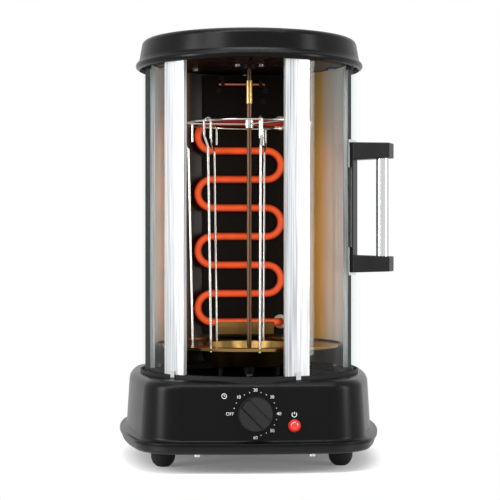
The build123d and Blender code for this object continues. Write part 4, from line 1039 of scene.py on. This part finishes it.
@dataclass
class Studio:
    """Floor, lamps, world and camera of the picture, in metres, degrees and watts."""

    distance: float = 1.615
    eye_height: float = 0.235
    turn: float = 2.9
    sensor_width_mm: float = 36.0
    lens_mm: float = 106.2
    shift_x: float = 0.0016
    shift_y: float = -0.0152
    clip_start: float = 0.05
    clip_end: float = 50.0
    floor_size: float = 12.0
    floor_near: float = 0.10
    floor_far: float = 0.27
    floor_white: float = 0.86
    floor_lift: float = 0.14
    room_front: float = 0.2
    room_side: float = 0.9
    room_front_from: float = -0.95
    room_side_from: float = -0.2
    aim: tuple[float, float, float] = (0.0, 0.0, 0.24)
    boxes: tuple[SoftBox, ...] = (
        SoftBox("key_box", (-1.1, -1.3, 1.5), (0.7, 0.7), 12.0),
        SoftBox("left_strip", (-1.4, -0.75, 0.45), (0.4, 1.3), 22.0),
        SoftBox("right_strip", (1.4, -0.75, 0.45), (0.3, 1.3), 14.0),
        SoftBox("front_strip", (0.0, -0.9, 1.6), (1.6, 0.12), 16.0),
        SoftBox("top_box", (0.0, 0.1, 1.8), (1.2, 0.9), 9.0),
    )
    glow: SoftBox = SoftBox("heater_glow", (-0.007, 0.078, 0.25), (0.09, 0.22), 0.22)
    glow_colour: tuple[float, float, float] = (1.0, 0.42, 0.12)

    def floor(self) -> None:
        """Lay a plain pale floor that fades to white in the picture."""
        mesh = bpy.data.meshes.new("floor")
        build = bmesh.new()
        bmesh.ops.create_grid(build, x_segments=2, y_segments=2, size=self.floor_size / 2)
        build.to_mesh(mesh)
        build.free()
        floor = bpy.data.objects.new("floor", mesh)
        bpy.context.scene.collection.objects.link(floor)
        graph = Graph(bpy.data.materials.new("white_floor"))
        pale = (self.floor_white, self.floor_white, self.floor_white, 1.0)
        plain = graph.add("ShaderNodeBsdfDiffuse", {"Color": pale})
        lift = graph.add("ShaderNodeEmission", {"Color": WHITE, "Strength": self.floor_lift})
        near = graph.add("ShaderNodeAddShader", {0: plain.outputs[0], 1: lift.outputs[0]})
        white = graph.add("ShaderNodeEmission", {"Color": WHITE, "Strength": 1.0})
        place = graph.add("ShaderNodeTexCoord")
        away = graph.add("ShaderNodeVectorMath", {0: place.outputs["Object"]}, operation="LENGTH")
        fade = graph.add(
            "ShaderNodeMapRange",
            {
                "Value": away.outputs["Value"],
                "From Min": self.floor_near,
                "From Max": self.floor_far,
            },
            interpolation_type="SMOOTHSTEP",
        )
        shown = graph.add(
            "ShaderNodeMixShader",
            {0: fade.outputs["Result"], 1: near.outputs[0], 2: white.outputs[0]},
        )
        shader = graph.add(
            "ShaderNodeMixShader", {0: graph.in_view(), 1: plain.outputs[0], 2: shown.outputs[0]}
        )
        mesh.materials.append(graph.finish(shader))

    def world(self) -> None:
        """Fill the room with soft even light, and make it white wherever it is in view."""
        graph = Graph(bpy.data.worlds.new("soft_room"))
        towards = graph.add("ShaderNodeTexCoord")
        split = graph.add("ShaderNodeSeparateXYZ", {"Vector": towards.outputs["Generated"]})
        soft = graph.add(
            "ShaderNodeMapRange",
            {
                "Value": split.outputs["Y"],
                "From Min": self.room_front_from,
                "From Max": self.room_side_from,
                "To Min": self.room_front,
                "To Max": self.room_side,
            },
        )
        strength = graph.add(
            "ShaderNodeMix", {"Factor": graph.in_view(), "A": soft.outputs["Result"], "B": 1.0}
        )
        shade = graph.add(
            "ShaderNodeBackground", {"Color": WHITE, "Strength": strength.outputs["Result"]}
        )
        bpy.context.scene.world = graph.finish(shade)

    def lamps(self) -> None:
        """Turn each soft box to the middle of the grill."""
        for box in self.boxes:
            towards = Vector(self.aim) - Vector(box.place)
            box.build().rotation_euler = towards.to_track_quat("-Z", "Y").to_euler()

    def heater_glow(self) -> None:
        """Let the hot rod light the chamber from behind the skewers."""
        glow = self.glow.build()
        glow.data.color = self.glow_colour
        glow.rotation_euler = (math.radians(-90), 0, 0)
        glow.visible_camera = False
        glow.visible_glossy = False
        glow.visible_transmission = False

    def camera(self) -> None:
        """Stand the camera level, where the photograph was taken from."""
        data = bpy.data.cameras.new("camera")
        data.sensor_width = self.sensor_width_mm
        data.lens = self.lens_mm
        data.shift_x = self.shift_x
        data.shift_y = self.shift_y
        data.clip_start = self.clip_start
        data.clip_end = self.clip_end
        camera = bpy.data.objects.new("camera", data)
        turn = math.radians(self.turn)
        camera.location = (
            -self.distance * math.sin(turn),
            -self.distance * math.cos(turn),
            self.eye_height,
        )
        camera.rotation_euler = (math.radians(90), 0, -turn)
        bpy.context.scene.collection.objects.link(camera)
        bpy.context.scene.camera = camera

    def build(self) -> None:
        """Set up the whole picture."""
        bpy.context.scene.view_settings.view_transform = "Standard"
        self.floor()
        self.world()
        self.lamps()
        self.heater_glow()
        self.camera()
        LOG.info("studio ready")


def main() -> None:
    """Dress the grill and set up its picture."""
    logging.basicConfig(level=logging.INFO)
    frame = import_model()
    finishes = Finishes()
    for group in (Base, FrontControls, Chamber, Heater, Door, Carousel, Lid):
        group(frame["nodes"], finishes).build()
    Studio().build()


if __name__ == "__main__":
    main()
